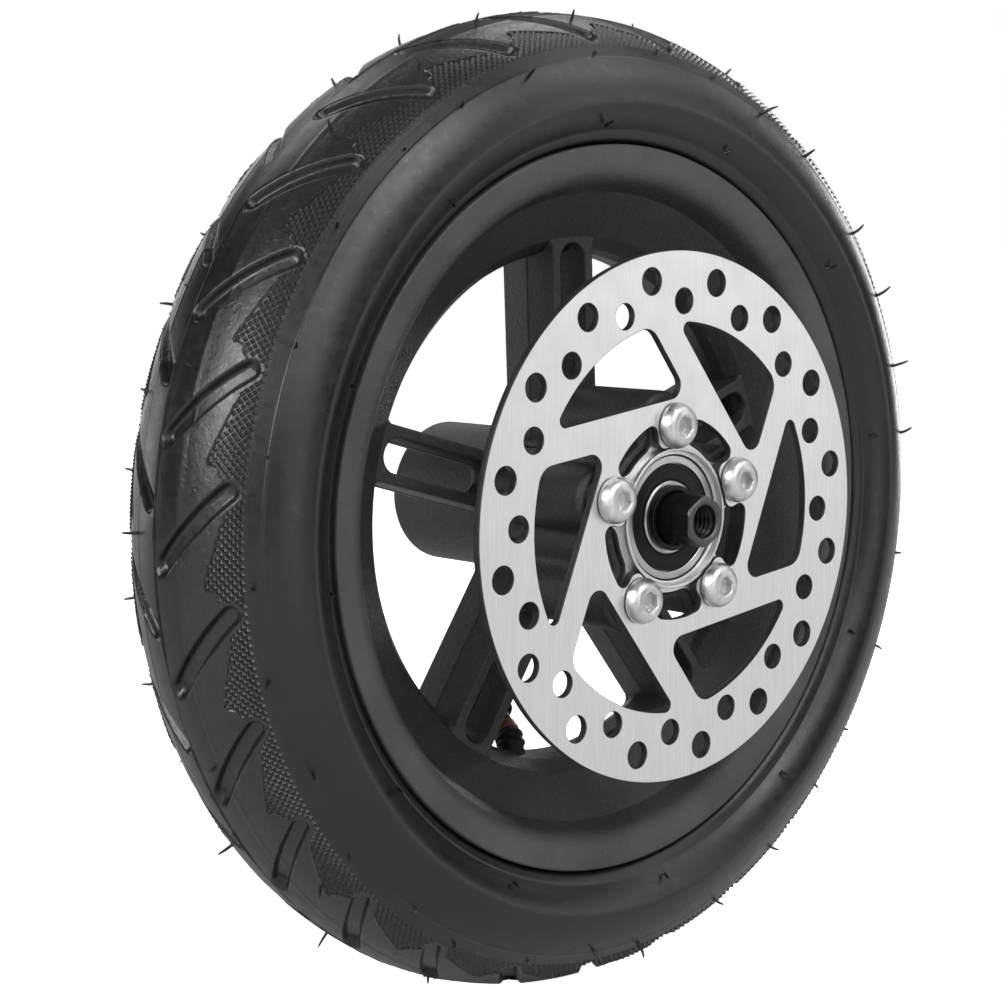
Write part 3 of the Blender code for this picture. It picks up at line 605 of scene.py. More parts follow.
def crown_point(degrees):
    """(radius, offset) on the same curve, from the widest point (0) to the crown (90)."""
    c, s = on_circle(1.0, degrees)
    radius = WIDE_R + (TYRE_R - WIDE_R) * s ** (2 / CROWN_POWERS[1])
    return radius, TYRE_HALF_W * c ** (2 / CROWN_POWERS[0])


def shear(offset):
    return SHEAR_RATE * (SHEAR_REF - min(abs(offset), SHEAR_END))


ARC_OFFSETS = np.linspace(0.0, 24.0, 2401)
ARC_RADII = np.array([crown_r(offset) for offset in ARC_OFFSETS])
ARC_STEPS = np.hypot(np.diff(ARC_OFFSETS), np.diff(ARC_RADII))
ARC_LENGTHS = np.concatenate([[0.0], np.cumsum(ARC_STEPS)])


def arc_length(offset):
    """Length along the tread section from the centre plane."""
    return np.interp(np.abs(offset), ARC_OFFSETS, ARC_LENGTHS)


def offset_at(length):
    return float(np.interp(length, ARC_LENGTHS, ARC_OFFSETS))


def section_normal(offset, side):
    """Outward (r, y) normal of the tread section."""
    low, high = max(abs(offset) - 0.02, 0.0), abs(offset) + 0.02
    dr, dy = crown_r(high) - crown_r(low), high - low
    normal = np.array([dy, -dr]) / math.hypot(dr, dy)
    return float(normal[0]), float(normal[1]) * side


def surface(degrees, offset, side, lift=0.0):
    """Point on the tread surface, lifted along its normal."""
    nr, ny = section_normal(offset, side)
    x, z = on_circle(crown_r(offset) + lift * nr, degrees)
    return Vector((x, side * offset + lift * ny, z))


def groove_distance(side, degrees, offset):
    """Distance from surface points to a groove's centre line.

    degrees is measured from the groove; a negative offset lies past the centre plane.
    """
    best = np.full(np.shape(degrees), 1e9)
    line = np.linspace(GROOVE_OUT[side], GROOVE_IN[side], 16)
    line_x = np.radians(SHEAR_RATE * (SHEAR_REF - line)) * GROOVE_R
    line_y = arc_length(line)
    x = np.radians(degrees) * GROOVE_R
    y = math.copysign(float(arc_length(offset)), offset)
    for x0, y0, x1, y1 in zip(line_x, line_y, line_x[1:], line_y[1:]):
        dx, dy = x1 - x0, y1 - y0
        t = np.clip(((x - x0) * dx + (y - y0) * dy) / (dx * dx + dy * dy), 0, 1)
        best = np.minimum(best, np.hypot(x - x0 - t * dx, y - y0 - t * dy))
    return best


def sector_angle(k, side):
    return GROOVE_PHASE + PITCH * k + (PITCH / 2 if side > 0 else 0.0)


def tyre_rows():
    """(r, y, (nr, ny)) round the whole closed section; the normal is None off the tread."""
    halves = []
    for side in (-1, 1):
        low = SIDEWALL + [crown_point(degrees) for degrees in SHOULDER_DEGREES]
        rows = [(r, side * offset, None) for r, offset in low]
        for offset in TREAD_OFFSETS:
            nr, ny = section_normal(offset, side)
            lift = RIDGES.get(offset, 0.0)
            rows.append((crown_r(offset) + lift * nr, side * offset + lift * ny, (nr, ny)))
        halves.append(rows)
    front, rear = halves
    lining = [(r, y, None) for r, y in LINING]
    crown = [(crown_r(0.0), 0.0, (1.0, 0.0))]
    return front + crown + rear[::-1] + lining + mirrored(lining[:-1])


def groove_depth(columns, y):
    """Depth cut into the tread at each column of the row at y."""
    depth = np.zeros(len(columns))
    for side, shift in ((-1, 0.0), (1, PITCH / 2)):
        if side * y < -1.0:
            continue
        for wrap in (-PITCH, 0.0, PITCH):
            distance = groove_distance(side, columns - shift - wrap, side * y)
            t = np.clip((GROOVE_HALF + 0.1 - distance) / 1.05, 0, 1)
            depth = np.maximum(depth, GROOVE_DEPTH * t * t * (3 - 2 * t))
    return depth


def build_tyre():
    rows = tyre_rows()
    # Columns of one sector, in degrees: packed across each groove, sparse between.
    band = [0.5, 0.88, 1.12, 1.32, 1.50, 1.68, 1.9]
    half = [-b for b in reversed(band)] + [0.0] + band + [2.5, PITCH / 4, PITCH / 2 - 2.5]
    columns = np.array(half + [c + PITCH / 2 for c in half])
    kept = [i for i in range(len(columns)) if i % len(half) in (0, 3, 7, 11, 14, 16)]
    verts, faces, rings, count = [], [], [], 0
    for r, y, normal in rows:
        lean = shear(y if normal else SHEAR_END)
        depth = np.zeros(len(columns))
        if normal and abs(y) < 19.5:
            depth = groove_depth(columns + lean, y)
        chosen = np.arange(len(columns)) if normal and abs(y) < DENSE_TO else np.array(kept)
        around = (columns[chosen][None, :] + PITCH * np.arange(SECTORS)[:, None]).reshape(-1)
        theta = np.radians(around + GROOVE_PHASE + lean)
        depth = np.tile(depth[chosen], SECTORS)
        nr, ny = normal or (0.0, 0.0)
        radii = r - depth * nr
        verts.append(np.stack([radii * np.cos(theta), y - depth * ny, radii * np.sin(theta)], 1))
        rings.append(np.arange(count, count + len(around)))
        count += len(around)
    per_sector, few = len(columns), len(kept)
    steps = [(kept[(i + 1) % few] - kept[i]) % per_sector for i in range(few)]
    for j, lower in enumerate(rings):
        upper = rings[(j + 1) % len(rings)]
        if len(lower) == len(upper):
            corners = (lower, np.roll(lower, -1), np.roll(upper, -1), upper)
            faces.extend(zip(*(c.tolist() for c in corners)))
            continue
        # One many-sided face joins each sparse edge to its run of dense edges.
        dense, sparse = (lower, upper) if len(lower) > len(upper) else (upper, lower)
        for k in range(len(sparse)):
            first = kept[k % few] + per_sector * (k // few)
            face = [int(dense[(first + q) % len(dense)]) for q in range(steps[k % few] + 1)]
            face += [int(sparse[(k + 1) % len(sparse)]), int(sparse[k])]
            faces.append(tuple(face if dense is lower else face[::-1]))
    shape = (np.concatenate(verts), faces, [0] * len(faces))
    make_object("tyre_pneumatic", [shape], [RUBBER], "wheel", 60, ["tyre"])


# Both tables are (degrees from the groove, offset): where the knurl ends towards the centre
# plane, and the thin raised border drawn along part of that line.
KNURL_EDGE = [(-0.70, 15.9), (2.10, 16.6), (6.60, 14.6), (10.60, 12.2), (10.95, 14.6),
              (12.64, 15.6)]
KNURL_BORDER = [(2.35, 16.95), (4.4, 15.75), (6.6, 14.65), (8.6, 13.55), (10.0, 12.75),
                (10.55, 12.5), (10.85, 12.75), (10.8, 13.6), (10.95, 14.4), (11.25, 14.95),
                (11.5, 14.85), (11.75, 15.05), (11.75, 15.5), (12.1, 15.85), (12.45, 16.0)]
KNURL_OUT, KNURL_IN = 19.9, 11.8  # offsets between which the knurl rows lie


def build_knurl(side):
    """Raised diamond points between the grooves' outer ends and the shoulder."""
    per_sector = 15
    step = PITCH / per_sector
    half_length = 0.5 * math.radians(step) * 108.0
    outer_length = float(arc_length(KNURL_OUT))
    points = []
    for j in range(int((outer_length - float(arc_length(KNURL_IN))) / half_length)):
        length = outer_length - (j + 1.0) * half_length
        offset = offset_at(length)
        for i in range(per_sector):
            degrees = (i + 0.5 * (j % 2)) * step - 0.7
            if offset < float(np.interp(degrees, *zip(*KNURL_EDGE))) + 0.3:
                continue
            near = min(float(groove_distance(side, np.array(degrees + wrap), offset))
                       for wrap in (-PITCH, 0.0, PITCH))
            if near >= GROOVE_HALF + 0.55:
                points.append((degrees, offset, length))
    verts, faces = [], []
    half_step, half_width = 0.5 * step * 0.98, half_length * 0.98
    sunk, peak = -0.06, 0.52
    for k in range(SECTORS):
        for degrees, offset, length in points:
            theta = sector_angle(k, side) + degrees
            i = len(verts)
            verts += [surface(theta - half_step, offset, side, sunk),
                      surface(theta, offset_at(length - half_width), side, sunk),
                      surface(theta + half_step, offset, side, sunk),
                      surface(theta, offset_at(length + half_width), side, sunk),
                      surface(theta, offset, side, peak)]
            faces += [(i, i + 1, i + 4), (i + 1, i + 2, i + 4), (i + 2, i + 3, i + 4),
                      (i + 3, i, i + 4), (i, i + 3, i + 2, i + 1)]
    shapes = [(np.array([tuple(v) for v in verts]), faces, [0] * len(faces))]
    border = []
    for (t0, a0), (t1, a1) in zip(KNURL_BORDER, KNURL_BORDER[1:]):
        border += [(t0 + (t1 - t0) * q, a0 + (a1 - a0) * q) for q in (0.0, 0.5)]
    border.append(KNURL_BORDER[-1])
    radii = [0.12] + [0.27] * (len(border) - 2) + [0.12]
    for k in range(SECTORS):
        path = [surface(sector_angle(k, side) + t, offset, side) for t, offset in border]
        shapes.append(sweep(path, radii, 6))
    name = "tyre_knurl_front" if side < 0 else "tyre_knurl_rear"
    make_object(name, shapes, [SHEENED_KNURL], "wheel", 25)


def build_mould_line():
    """Thin uneven flash round the tread's centre plane."""
    count, root, half_foot, half_top = 1400, 0.15, 0.16, 0.03
    points = np.zeros((count, 4, 3))
    height = 0.10
    for i in range(count):
        height = min(0.34, max(0.05, height + rng.uniform(-0.05, 0.05)))
        if rng.random() < 0.02:
            height = rng.uniform(0.05, 0.55)
        waver = 0.12 * math.sin(i * 0.37) * rng.random() * 0.3
        theta = 2 * math.pi * i / count
        section = ((TYRE_R - root, -half_foot), (TYRE_R + height, waver - half_top),
                   (TYRE_R + height, waver + half_top), (TYRE_R - root, half_foot))
        for j, (r, y) in enumerate(section):
            points[i, j] = (r * math.cos(theta), y, r * math.sin(theta))
    make_object("tyre_mould_line", [grid(points)], [RUBBER], "wheel", 30)


def whisker_spots():
    """(degrees, offset, side, length); offset is None on the sidewall."""
    # Largest first angle, offset range, length range, range of gaps in degrees
    bands = ((10, (20.2, 23.0), (1.2, 4.6), (9, 15)),
             (14, (3.0, 15.0), (1.0, 4.4), (11, 20)))
    spots = []
    for side in (-1, 1):
        degrees = rng.uniform(0, 30)
        while degrees < 360:
            spots.append((degrees + rng.uniform(-2, 2), None, side, rng.uniform(1.8, 3.2)))
            degrees += 30
        for latest_start, offsets, lengths, gaps in bands:
            degrees = rng.uniform(0, latest_start)
            while degrees < 360:
                spots.append((degrees, rng.uniform(*offsets), side, rng.uniform(*lengths)))
                degrees += rng.uniform(*gaps)
    return spots


def build_whiskers():
    """Moulding vents left as short rubber whiskers."""
    radii = [0.5, 0.38, 0.36, 0.33, 0.28, 0.16]
    shapes = []
    for degrees, offset, side, length in whisker_spots():
        if offset is None:
            r, y, nr, ny = 88.0, side * 25.0, 0.35, side * 0.94
        else:
            from_groove = (degrees - sector_angle(0, side)) % PITCH
            near = min(float(groove_distance(side, np.array(from_groove + wrap), offset))
                       for wrap in (-PITCH, 0.0))
            if near < GROOVE_HALF + 0.6:
                continue
            nr, ny = section_normal(offset, side)
            r, y = crown_r(offset), side * offset
        c, s = on_circle(1.0, degrees)
        out = Vector((nr * c, ny, nr * s)).normalized()
        around = Vector((-s, 0, c))
        bend = around * rng.uniform(-0.5, 0.5) + Vector((0, rng.uniform(-0.4, 0.4), 0))
        base = Vector((r * c, y, r * s)) - out * 0.3
        path = [base + out * length * t + bend * length * t * t * 0.7
                for t in np.linspace(0, 1, len(radii))]
        shapes.append(sweep(path, radii, 6))
    make_object("tyre_vent_whiskers", shapes, [RUBBER], "wheel", 60)


build_tyre()
build_knurl(-1)
build_knurl(1)
build_mould_line()
build_whiskers()

# ------------------------------------------------------------- inner tube
# (radius, y) of one half of each surface, from the rim side to the crown
TUBE_OUTER = [(67.7, -5.0), (74.0, -6.6), (80.5, -9.6), (85.2, -14.6), (88.8, -19.6),
              (93.6, -22.0), (98.6, -20.6), (102.6, -16.0), (105.3, -9.0), (106.1, 0.0)]
TUBE_INNER = [(69.6, 3.4), (75.0, 5.0), (81.6, 8.0), (86.4, 13.2), (90.2, 18.0),
              (93.8, 20.2), (97.8, 19.0), (101.4, 14.8), (103.6, 8.4), (104.3, 0.0)]


def build_inner_tube():
    profile = (TUBE_OUTER + mirrored(TUBE_OUTER[:-1]) + TUBE_INNER + mirrored(TUBE_INNER[:-1]))
    tube = spun(rounded([(r, y, 2.0) for r, y in profile], steps=2), 144)
    make_object("inner_tube_rubber", [tube], [TUBE], "wheel", 60, ["inner_tube"])


build_inner_tube()

# ---------------------------------------------------------- rim and hub
SPOKE_FRONT_Y, SPOKE_REAR_Y = -8.2, 9.0
ARM_FRONT_Y, ARM_REAR_Y = -37.4, -6.5
SPOKE_HALF, SLOT_HALF, ARM_HALF = 6.5, 3.9, 5.6
# A through slot and, behind POCKET_Y, a longer one
SLOT_IN, SLOT_OUT, POCKET_IN, POCKET_Y = 28.5, 61.4, 20.0, -2.0
PART_LINE_Y = 0.4
BARREL_R, SPIGOT_R, SEAT_R, BARREL_BORE_R = 17.0, 16.0, 14.3, 12.5

# (radius, y, fillet): the side under the tyre, front half, and the side facing the
# hub, rear half
RIM_TYRE_SIDE = [(LIP_R, -21.8, 0.7), (LIP_R, -19.3, 0.5), (83.2, -18.7, 0.3),
                 (78.0, -18.6, 0.8), (77.7, -12.3, 1.5), (66.0, -7.0, 2.5)]
RIM_HUB_SIDE = [(59.3, -2.6, 1.2), (60.3, -4.9, 1.5), (62.9, -8.3, 2.0), (73.2, -15.2, 0.9),
                (76.6, -21.8, 5.5)]

# (inset, y) down the spoke walls, in front of the pocket floor and behind it
SPOKE_FRONT_WALL = [(0.75, SPOKE_FRONT_Y), (0.5, SPOKE_FRONT_Y), (0.27, SPOKE_FRONT_Y + 0.08),
                    (0.09, SPOKE_FRONT_Y + 0.26), (0.0, SPOKE_FRONT_Y + 0.55), (-0.25, -3.0),
                    (-0.31, POCKET_Y), (-0.2, POCKET_Y)]
SPOKE_REAR_WALL = [(-0.2, POCKET_Y), (-0.3, POCKET_Y), (-0.42, PART_LINE_Y - 0.14),
                   (-0.56, PART_LINE_Y - 0.07), (-0.56, PART_LINE_Y + 0.07),
                   (-0.42, PART_LINE_Y + 0.14), (0.0, SPOKE_REAR_Y - 0.6),
                   (0.09, SPOKE_REAR_Y - 0.28), (0.27, SPOKE_REAR_Y - 0.09),
                   (0.5, SPOKE_REAR_Y), (0.75, SPOKE_REAR_Y)]


def barrel():
    """Hub barrel with its bearing seats; the seats and the front face are bare metal."""
    front_seat = BEARING["front"][1][1] + 0.3
    rear_seat = BEARING["rear"][0][1] - 0.3
    shoulder_y = DISC_FRONT_Y + 0.2
    profile = rounded([
        (SEAT_R, SPIGOT_Y, 0.25), (14.95, SPIGOT_Y, 0.1), (15.05, SPIGOT_Y + 0.2, 0.05),
        (15.25, SPIGOT_Y + 0.2, 0.05), (15.3, shoulder_y, 0.15), (SPIGOT_R, shoulder_y, 0.2),
        (SPIGOT_R, -35.0), (BARREL_R, -34.0, 0.4), (BARREL_R, BARREL_REAR_Y, 2.4),
        (SEAT_R + 0.35, BARREL_REAR_Y, 0.2), (SEAT_R, BARREL_REAR_Y - 0.5),
        (SEAT_R, rear_seat, 0.3), (BARREL_BORE_R, rear_seat, 0.3),
        (BARREL_BORE_R, front_seat, 0.3), (SEAT_R, front_seat, 0.3)])
    mats = []
    for (r0, y0), (r1, y1) in zip(profile, profile[1:] + profile[:1]):
        between = min(y0, y1) > front_seat + 0.4 and max(y0, y1) < rear_seat - 0.4
        in_seat = max(r0, r1) < SEAT_R + 0.4 and not between
        mats.append(2 if in_seat or max(y0, y1) < -34.9 else 0)
    return spun(profile, 144, row_mats=mats)


def spoke_outline():
    """Radial bar along +X with fillets where it meets the hub and the rim."""
    start_r, end_r, rim_join_r = 14.8, 64.8, 63.1
    hub_fillet, rim_fillet = 4.6, 2.0
    hub_z, rim_z = SPOKE_HALF + hub_fillet, SPOKE_HALF + rim_fillet
    hub_x, hub_angle = fillet_centre(BARREL_R + hub_fillet, hub_z)
    rim_x, rim_angle = fillet_centre(rim_join_r - rim_fillet, rim_z)
    upper = np.concatenate([[on_circle(start_r, hub_angle)],
                            arc(hub_x, hub_z, hub_fillet, 180 + hub_angle, 270, 10),
                            arc(rim_x, rim_z, rim_fillet, -90, rim_angle, 10),
                            [on_circle(end_r, rim_angle)]])
    return np.concatenate([upper, upper[::-1] * np.array([1, -1])])[::-1]


def stadium(inner, outer, half):
    """Round-ended slot along +X between two radii."""
    return np.concatenate([arc(outer - half, 0, half, -90, 90, 12),
                           arc(inner + half, 0, half, 90, 270, 12)])


def star_outline():
    """Ring with five bolt columns, filleted where they meet."""
    fillet, ring_r = 4.2, 17.3
    z = ARM_HALF + fillet
    x, angle = fillet_centre(ring_r + fillet, z)
    arm = np.concatenate([arc(x, -z, fillet, 180 - angle, 90, 8),
                          arc(BOLT_PITCH_R, 0, ARM_HALF, -90, 90, 24),
                          arc(x, z, fillet, 270, 180 + angle, 8),
                          arc(0, 0, ring_r, angle, 72 - angle, 8)[1:-1]])
    return np.concatenate([turned(arm, ARM_PHASE + 72 * k) for k in range(5)])


def build_casting():
    rim = (RIM_TYRE_SIDE + mirrored(RIM_TYRE_SIDE) + mirrored(RIM_HUB_SIDE) + RIM_HUB_SIDE)
    shapes = [spun(rounded(rim, steps=8), 288), barrel()]
    for k in range(5):
        angle = ARM_PHASE - 72.0 * k
        outline = turned(spoke_outline(), angle)
        through = turned(stadium(SLOT_IN, SLOT_OUT, SLOT_HALF), angle)
        pocket = turned(stadium(POCKET_IN, SLOT_OUT, SLOT_HALF), angle)
        shapes.append(slab([outline, through], SPOKE_FRONT_WALL))
        shapes.append(slab([outline, pocket], SPOKE_REAR_WALL))
    star = star_outline()
    holes = [circle(0, 0, 15.1, 72)] + [circle(x, z, 3.15, 36) for x, z, *_ in BOLTS]
    taper = [(-0.3, -31.0), (-0.9, -22.0), (-1.7, ARM_REAR_Y - 1.0)]
    arms = slab_profile(ARM_FRONT_Y, ARM_REAR_Y, 0.3, 0.3, middle=taper)
    shapes.append(slab([star] + holes, arms, first=2))
    # Wider step just behind the machined face
    step = slab_profile(-36.4, ARM_REAR_Y - 2.0, 1.9, 0.3, steps=6)
    shapes.append(slab([inset(star, -2.0), circle(0, 0, 15.6, 72)], step))
    make_object("rim_and_hub", shapes, [CAST, CAST, BARE], "wheel", 38,
                ["rim_and_hub_casting"])


build_casting()

# ------------------------------------------------------------- brake disc
# (hole radius, pitch radius, angle of the first hole) of the two rings of 16 holes
DISC_HOLE_RINGS = ((3.05, 53.9, 99.3), (2.9, 48.75, 88.0))
# The windows are bounded by an outer arc and two straight edges, each given by its
# distance from the spin axis along its unit normal (x, z).
WINDOW_ARC_R = 44.1
LONG_EDGE, LONG_NORMAL = -27.0, (-0.9272, 0.3747)
SHORT_EDGE, SHORT_NORMAL = 19.35, (0.1285, -0.9917)
# Corner radii: long edge to arc, edge to edge, short edge to arc
TIP_R, ROOT_R, BACK_R = 1.6, 3.0, 4.5


def window():
    (long_x, long_z), (short_x, short_z) = LONG_NORMAL, SHORT_NORMAL
    height = LONG_EDGE - TIP_R
    along = math.sqrt((WINDOW_ARC_R - TIP_R) ** 2 - height * height)
    tip = (height * long_x + along * long_z, height * long_z - along * long_x)
    height = SHORT_EDGE - BACK_R
    along = math.sqrt((WINDOW_ARC_R - BACK_R) ** 2 - height * height)
    back = (height * short_x - along * short_z, height * short_z + along * short_x)
    to_long, to_short = LONG_EDGE - ROOT_R, SHORT_EDGE - ROOT_R
    cross = long_x * short_z - long_z * short_x
    root = ((to_long * short_z - to_short * long_z) / cross,
            (long_x * to_short - short_x * to_long) / cross)
    at_long, at_short, at_tip, at_back = (
        math.degrees(math.atan2(z, x)) for x, z in (LONG_NORMAL, SHORT_NORMAL, tip, back))
    return np.concatenate([arc(*tip, TIP_R, at_tip, at_long, 14),
                           arc(*root, ROOT_R, at_long, at_short + 360, 10),
                           arc(*back, BACK_R, at_short, at_back, 12),
                           arc(0, 0, WINDOW_ARC_R, at_back, at_tip, 30)[1:-1]])


def centre_opening():
    """Round bore with five round-nosed lugs either side of five wider bays."""
    bore, bay_r, half, fillet, nose = 16.3, 22.9, 5.5, 2.1, 2.3
    nose_x, nose_angle = fillet_centre(bore + nose, half - nose)
    bay_x, bay_angle = fillet_centre(bay_r - fillet, half + fillet)
    loop = []
    for k in range(5):
        part = np.concatenate([
            arc(nose_x, nose - half, nose, -90, -180 - nose_angle, 8)[:-1],
            arc(0, 0, bore, -nose_angle, nose_angle, 12),
            arc(nose_x, half - nose, nose, 180 + nose_angle, 90, 8)[1:],
            arc(bay_x, half + fillet, fillet, 270, 360 + bay_angle, 10),
            arc(0, 0, bay_r, bay_angle, 72 - bay_angle, 12)[1:-1],
            turned(arc(bay_x, -(half + fillet), fillet, -bay_angle, 90, 10), 72)])
        loop.append(turned(part, ARM_PHASE + 72 * k))
    return np.concatenate(loop)


def build_disc():
    loops = [circle(0, 0, DISC_R, 320)]
    for radius, pitch_r, phase in DISC_HOLE_RINGS:
        loops += [circle(*on_circle(pitch_r, phase - 22.5 * k), radius, 40) for k in range(16)]
    loops += [turned(window(), -0.1 + 60 * k) for k in range(6)]
    loops += [circle(x, z, 3.2, 36) for x, z, *_ in BOLTS]
    loops.append(centre_opening())
    profile = slab_profile(DISC_FRONT_Y, DISC_REAR_Y, 0.14, 0.14, steps=3, support=0.12)
    make_object("brake_disc_plate", [slab(loops, profile, side=1)], [DISC, DISC_EDGE], "wheel",
                38, ["brake_disc"])


build_disc()


# ------------------------------------------------------------------ bolts
def hex_radius(across, angles, phase=0.0):
    """Radii of a hexagon given across its flats."""
    from_flat = (angles - phase + math.pi / 6) % (math.pi / 3) - math.pi / 6
    return across / 2 / np.cos(from_flat)


def thread(y_start, y_end, pitch, major_r, depth, lead_in=1.2):
    """Spun rows of a cut helical thread that fades out over lead_in at both ends."""
    def cut(_r, y, angles):
        phase = (y / pitch - angles / (2 * math.pi)) % 1.0
        ridge = np.abs(phase * 2 - 1)
        fade = min(1.0, abs(y - y_start) / lead_in, abs(y - y_end) / lead_in)
        return major_r - depth * np.clip(ridge * 1.25 - 0.12, 0, 1) * fade

    count = int(abs(y_end - y_start) / pitch * 8)
    return [(major_r - depth, y, cut) for y in np.linspace(y_start, y_end, count)]


# (radius, distance behind the head end) over the domed head, from the socket outwards
BOLT_DOME = [(2.38, 0.1), (2.5, 0.02), (2.62, 0.0), (3.1, 0.05), (3.6, 0.2), (4.05, 0.46),
             (4.45, 0.84), (4.76, 1.3), (4.98, 1.8)]
SOCKET_ACROSS, BOLT_R = 4.0, 2.85


def build_bolt(k):
    x, z, head_y, end_y, head_r = BOLTS[k]
    seat_y = DISC_FRONT_Y - 0.3
    height = seat_y - head_y
    socket_r = SOCKET_ACROSS / 2

    def socket(_r, _y, angles):
        return hex_radius(SOCKET_ACROSS, angles, math.radians(12 + 17 * k))

    rows = [(0.0, head_y + 2.3), (socket_r * 0.55, head_y + 2.15),
            (socket_r, head_y + 2.0, socket), (socket_r, head_y + 0.3, socket)]
    rows += [(r, head_y + rise) for r, rise in BOLT_DOME]
    rows += [(head_r - 0.08, head_y + height * 0.7), (head_r, head_y + height * 0.78),
             (head_r, seat_y - 0.12), (head_r - 0.12, seat_y), (BOLT_R, seat_y)]
    rows += thread(seat_y + 1.0, end_y - 0.4, pitch=1.0, major_r=BOLT_R, depth=0.42)
    rows += [(2.3, end_y), (0.0, end_y)]
    make_object(f"disc_bolt_button_{k + 1}", [spun(rows, 72, False, (x, z))], [ZINC], "wheel",
                32, [f"disc_bolt_{k + 1}"])


for k in range(5):
    build_bolt(k)

# --------------------------------------------------------------- bearings
BALL_R, BALL_PITCH_R = 2.3, 10.0
# (radius, depth below the outward face, fillet) of a seal's outward side
SEAL_FACE = [(8.6, 0.12, 0.1), (9.0, 0.0, 0.1), (9.5, 0.0, 0.08), (9.65, 0.14, 0.05),
             (11.3, 0.14, 0.05), (11.45, 0.0, 0.08), (12.0, 0.0, 0.1), (12.15, 0.15, 0.05)]


def build_races(side, place, half):
    """Outer and inner race; half is half the bearing's width."""
    groove = [(math.sqrt(max(0.0, (BALL_R + 0.12) ** 2 - y * y)), y)
              for y in np.linspace(-1.9, 1.9, 13)]
    outer = [(12.45, -half), (13.7, -half), (13.93, -half + 0.1), (14.0, -half + 0.35),
             (14.0, half - 0.35), (13.93, half - 0.1), (13.7, half), (12.45, half),
             (12.35, half - 0.1), (12.35, half - 1.2), (11.6, half - 1.25)]
    outer += [(BALL_PITCH_R + depth, y) for depth, y in reversed(groove)]
    outer += [(11.6, -half + 1.25), (12.35, -half + 1.2), (12.35, -half + 0.1)]
    inner = [(6.0, -half + 0.25), (6.2, -half), (8.0, -half), (8.3, -half + 0.3), (8.35, -1.95)]
    inner += [(BALL_PITCH_R - depth, y) for depth, y in groove] + mirrored(inner)
    for kind, profile, count, body in (("outer", outer, 128, "wheel"),
                                       ("inner", inner, 96, "axle_assembly")):
        make_object(f"{side}_{kind}_race", [moved(spun(profile, count), place)], [RACE], body,
                    30, [f"{side}_bearing_{kind}_race"])


def build_seal(side, face, bearing_y):
    node = f"{side}_bearing_{face}_seal"
    low, high = mm_box(node)
    faces_front = (low[1] + high[1]) / 2 < bearing_y
    out_y, in_y = (low[1], high[1]) if faces_front else (high[1], low[1])
    inward = 1 if faces_front else -1
    profile = [(r, out_y + depth * inward, fillet) for r, depth, fillet in SEAL_FACE]
    profile += [(12.15, in_y, 0.05), (8.6, in_y, 0.05)]
    make_object(f"{side}_{face}_seal", [spun(rounded(profile, steps=3), 96)], [SEAL], "wheel",
                35, [node])


def build_cage(side, place):
    """Crown cage, its rear edge scooped out round each of the eight balls."""
    count, inner_r, outer_r = 128, 9.1, 10.9
    front_y, rear_y = -3.3, 1.1
    half_gap, scoop = 15.2, 2.62  # degrees, and depth in front of the ball centres
    angles = 2 * math.pi * np.arange(count) / count
    from_ball = np.degrees(angles) % 45 - 22.5
    reach = np.sqrt(np.clip(1 - (from_ball / half_gap) ** 2, 0, 1)) * scoop
    edge = np.where(np.abs(from_ball) < half_gap, -reach, rear_y)
    shares = np.linspace(0, 1, 9)
    rows = [(inner_r, t) for t in shares] + [(outer_r, t) for t in shares[::-1]]
    points = np.zeros((count, len(rows), 3))
    for j, (r, share) in enumerate(rows):
        points[:, j, 0] = r * np.cos(angles)
        points[:, j, 1] = front_y + share * (edge - front_y)
        points[:, j, 2] = r * np.sin(angles)
    make_object(f"{side}_ball_cage", [moved(grid(points), place)], [CAGE], f"{side}_ball_set",
                40, replaces=[f"{side}_bearing_cage"])


def build_ball(side, number):
    node = f"{side}_bearing_ball_{number}"
    centre = [0.5 * (low + high) for low, high in zip(*mm_box(node))]
    profile = [(BALL_R * math.sin(a), -BALL_R * math.cos(a)) for a in np.linspace(0, math.pi, 17)]
    ball = moved(spun(profile, 32, False), Matrix.Translation(centre))
    make_object(f"{side}_steel_ball_{number}", [ball], [RACE], f"{side}_ball_set", 60,
                [node])


for side in SIDES:
    low, high = BEARING[side]
    bearing_y = 0.5 * (low[1] + high[1])
    place = Matrix.Translation((0, bearing_y, 0))
    build_races(side, place, 0.5 * (high[1] - low[1]))
    for face in ("outside", "inside"):
        build_seal(side, face, bearing_y)
    build_cage(side, place)
    for k in range(8):
        build_ball(side, k + 1)

# ------------------------------------------------------------------- axle
HEX_ACROSS, HEX_LENGTH, TAP_R, TAP_DEPTH = 10.6, 5.5, 3.4, 24.0
SLEEVE_BORE_R, SPACER_R = 6.2, 8.0


def hex_flat(r, _y, angles):
    return np.minimum(r, hex_radius(HEX_ACROSS, angles))


def hex_tip(r, _y, angles):
    return np.minimum(r, hex_radius(HEX_ACROSS, angles) - 0.35)


def axle_end(end_y, inward):
    """Rows from the bottom of the tapped hole, over the end face, to the end of the hex."""
    def at(r, depth, shape=None):
        return r, end_y + inward * depth, shape

    return [at(0.0, TAP_DEPTH + 1.6), at(TAP_R - 0.3, TAP_DEPTH),
            *thread(end_y + inward * (TAP_DEPTH - 1.0), end_y + inward * 0.9, pitch=1.25,
                    major_r=TAP_R + 0.32, depth=0.55, lead_in=0.6),
            at(TAP_R + 0.35, 0.5), at(TAP_R + 0.75, 0.06), at(TAP_R + 0.9, 0.0),
            at(AXLE_R - 0.75, 0.0, hex_tip), at(AXLE_R - 0.55, 0.08, hex_tip),
            at(AXLE_R - 0.25, 0.35, hex_flat), at(AXLE_R, 0.7, hex_flat),
            at(AXLE_R, HEX_LENGTH - 0.5, hex_flat), at(AXLE_R, HEX_LENGTH, hex_flat),
            at(AXLE_R, HEX_LENGTH + 0.02)]


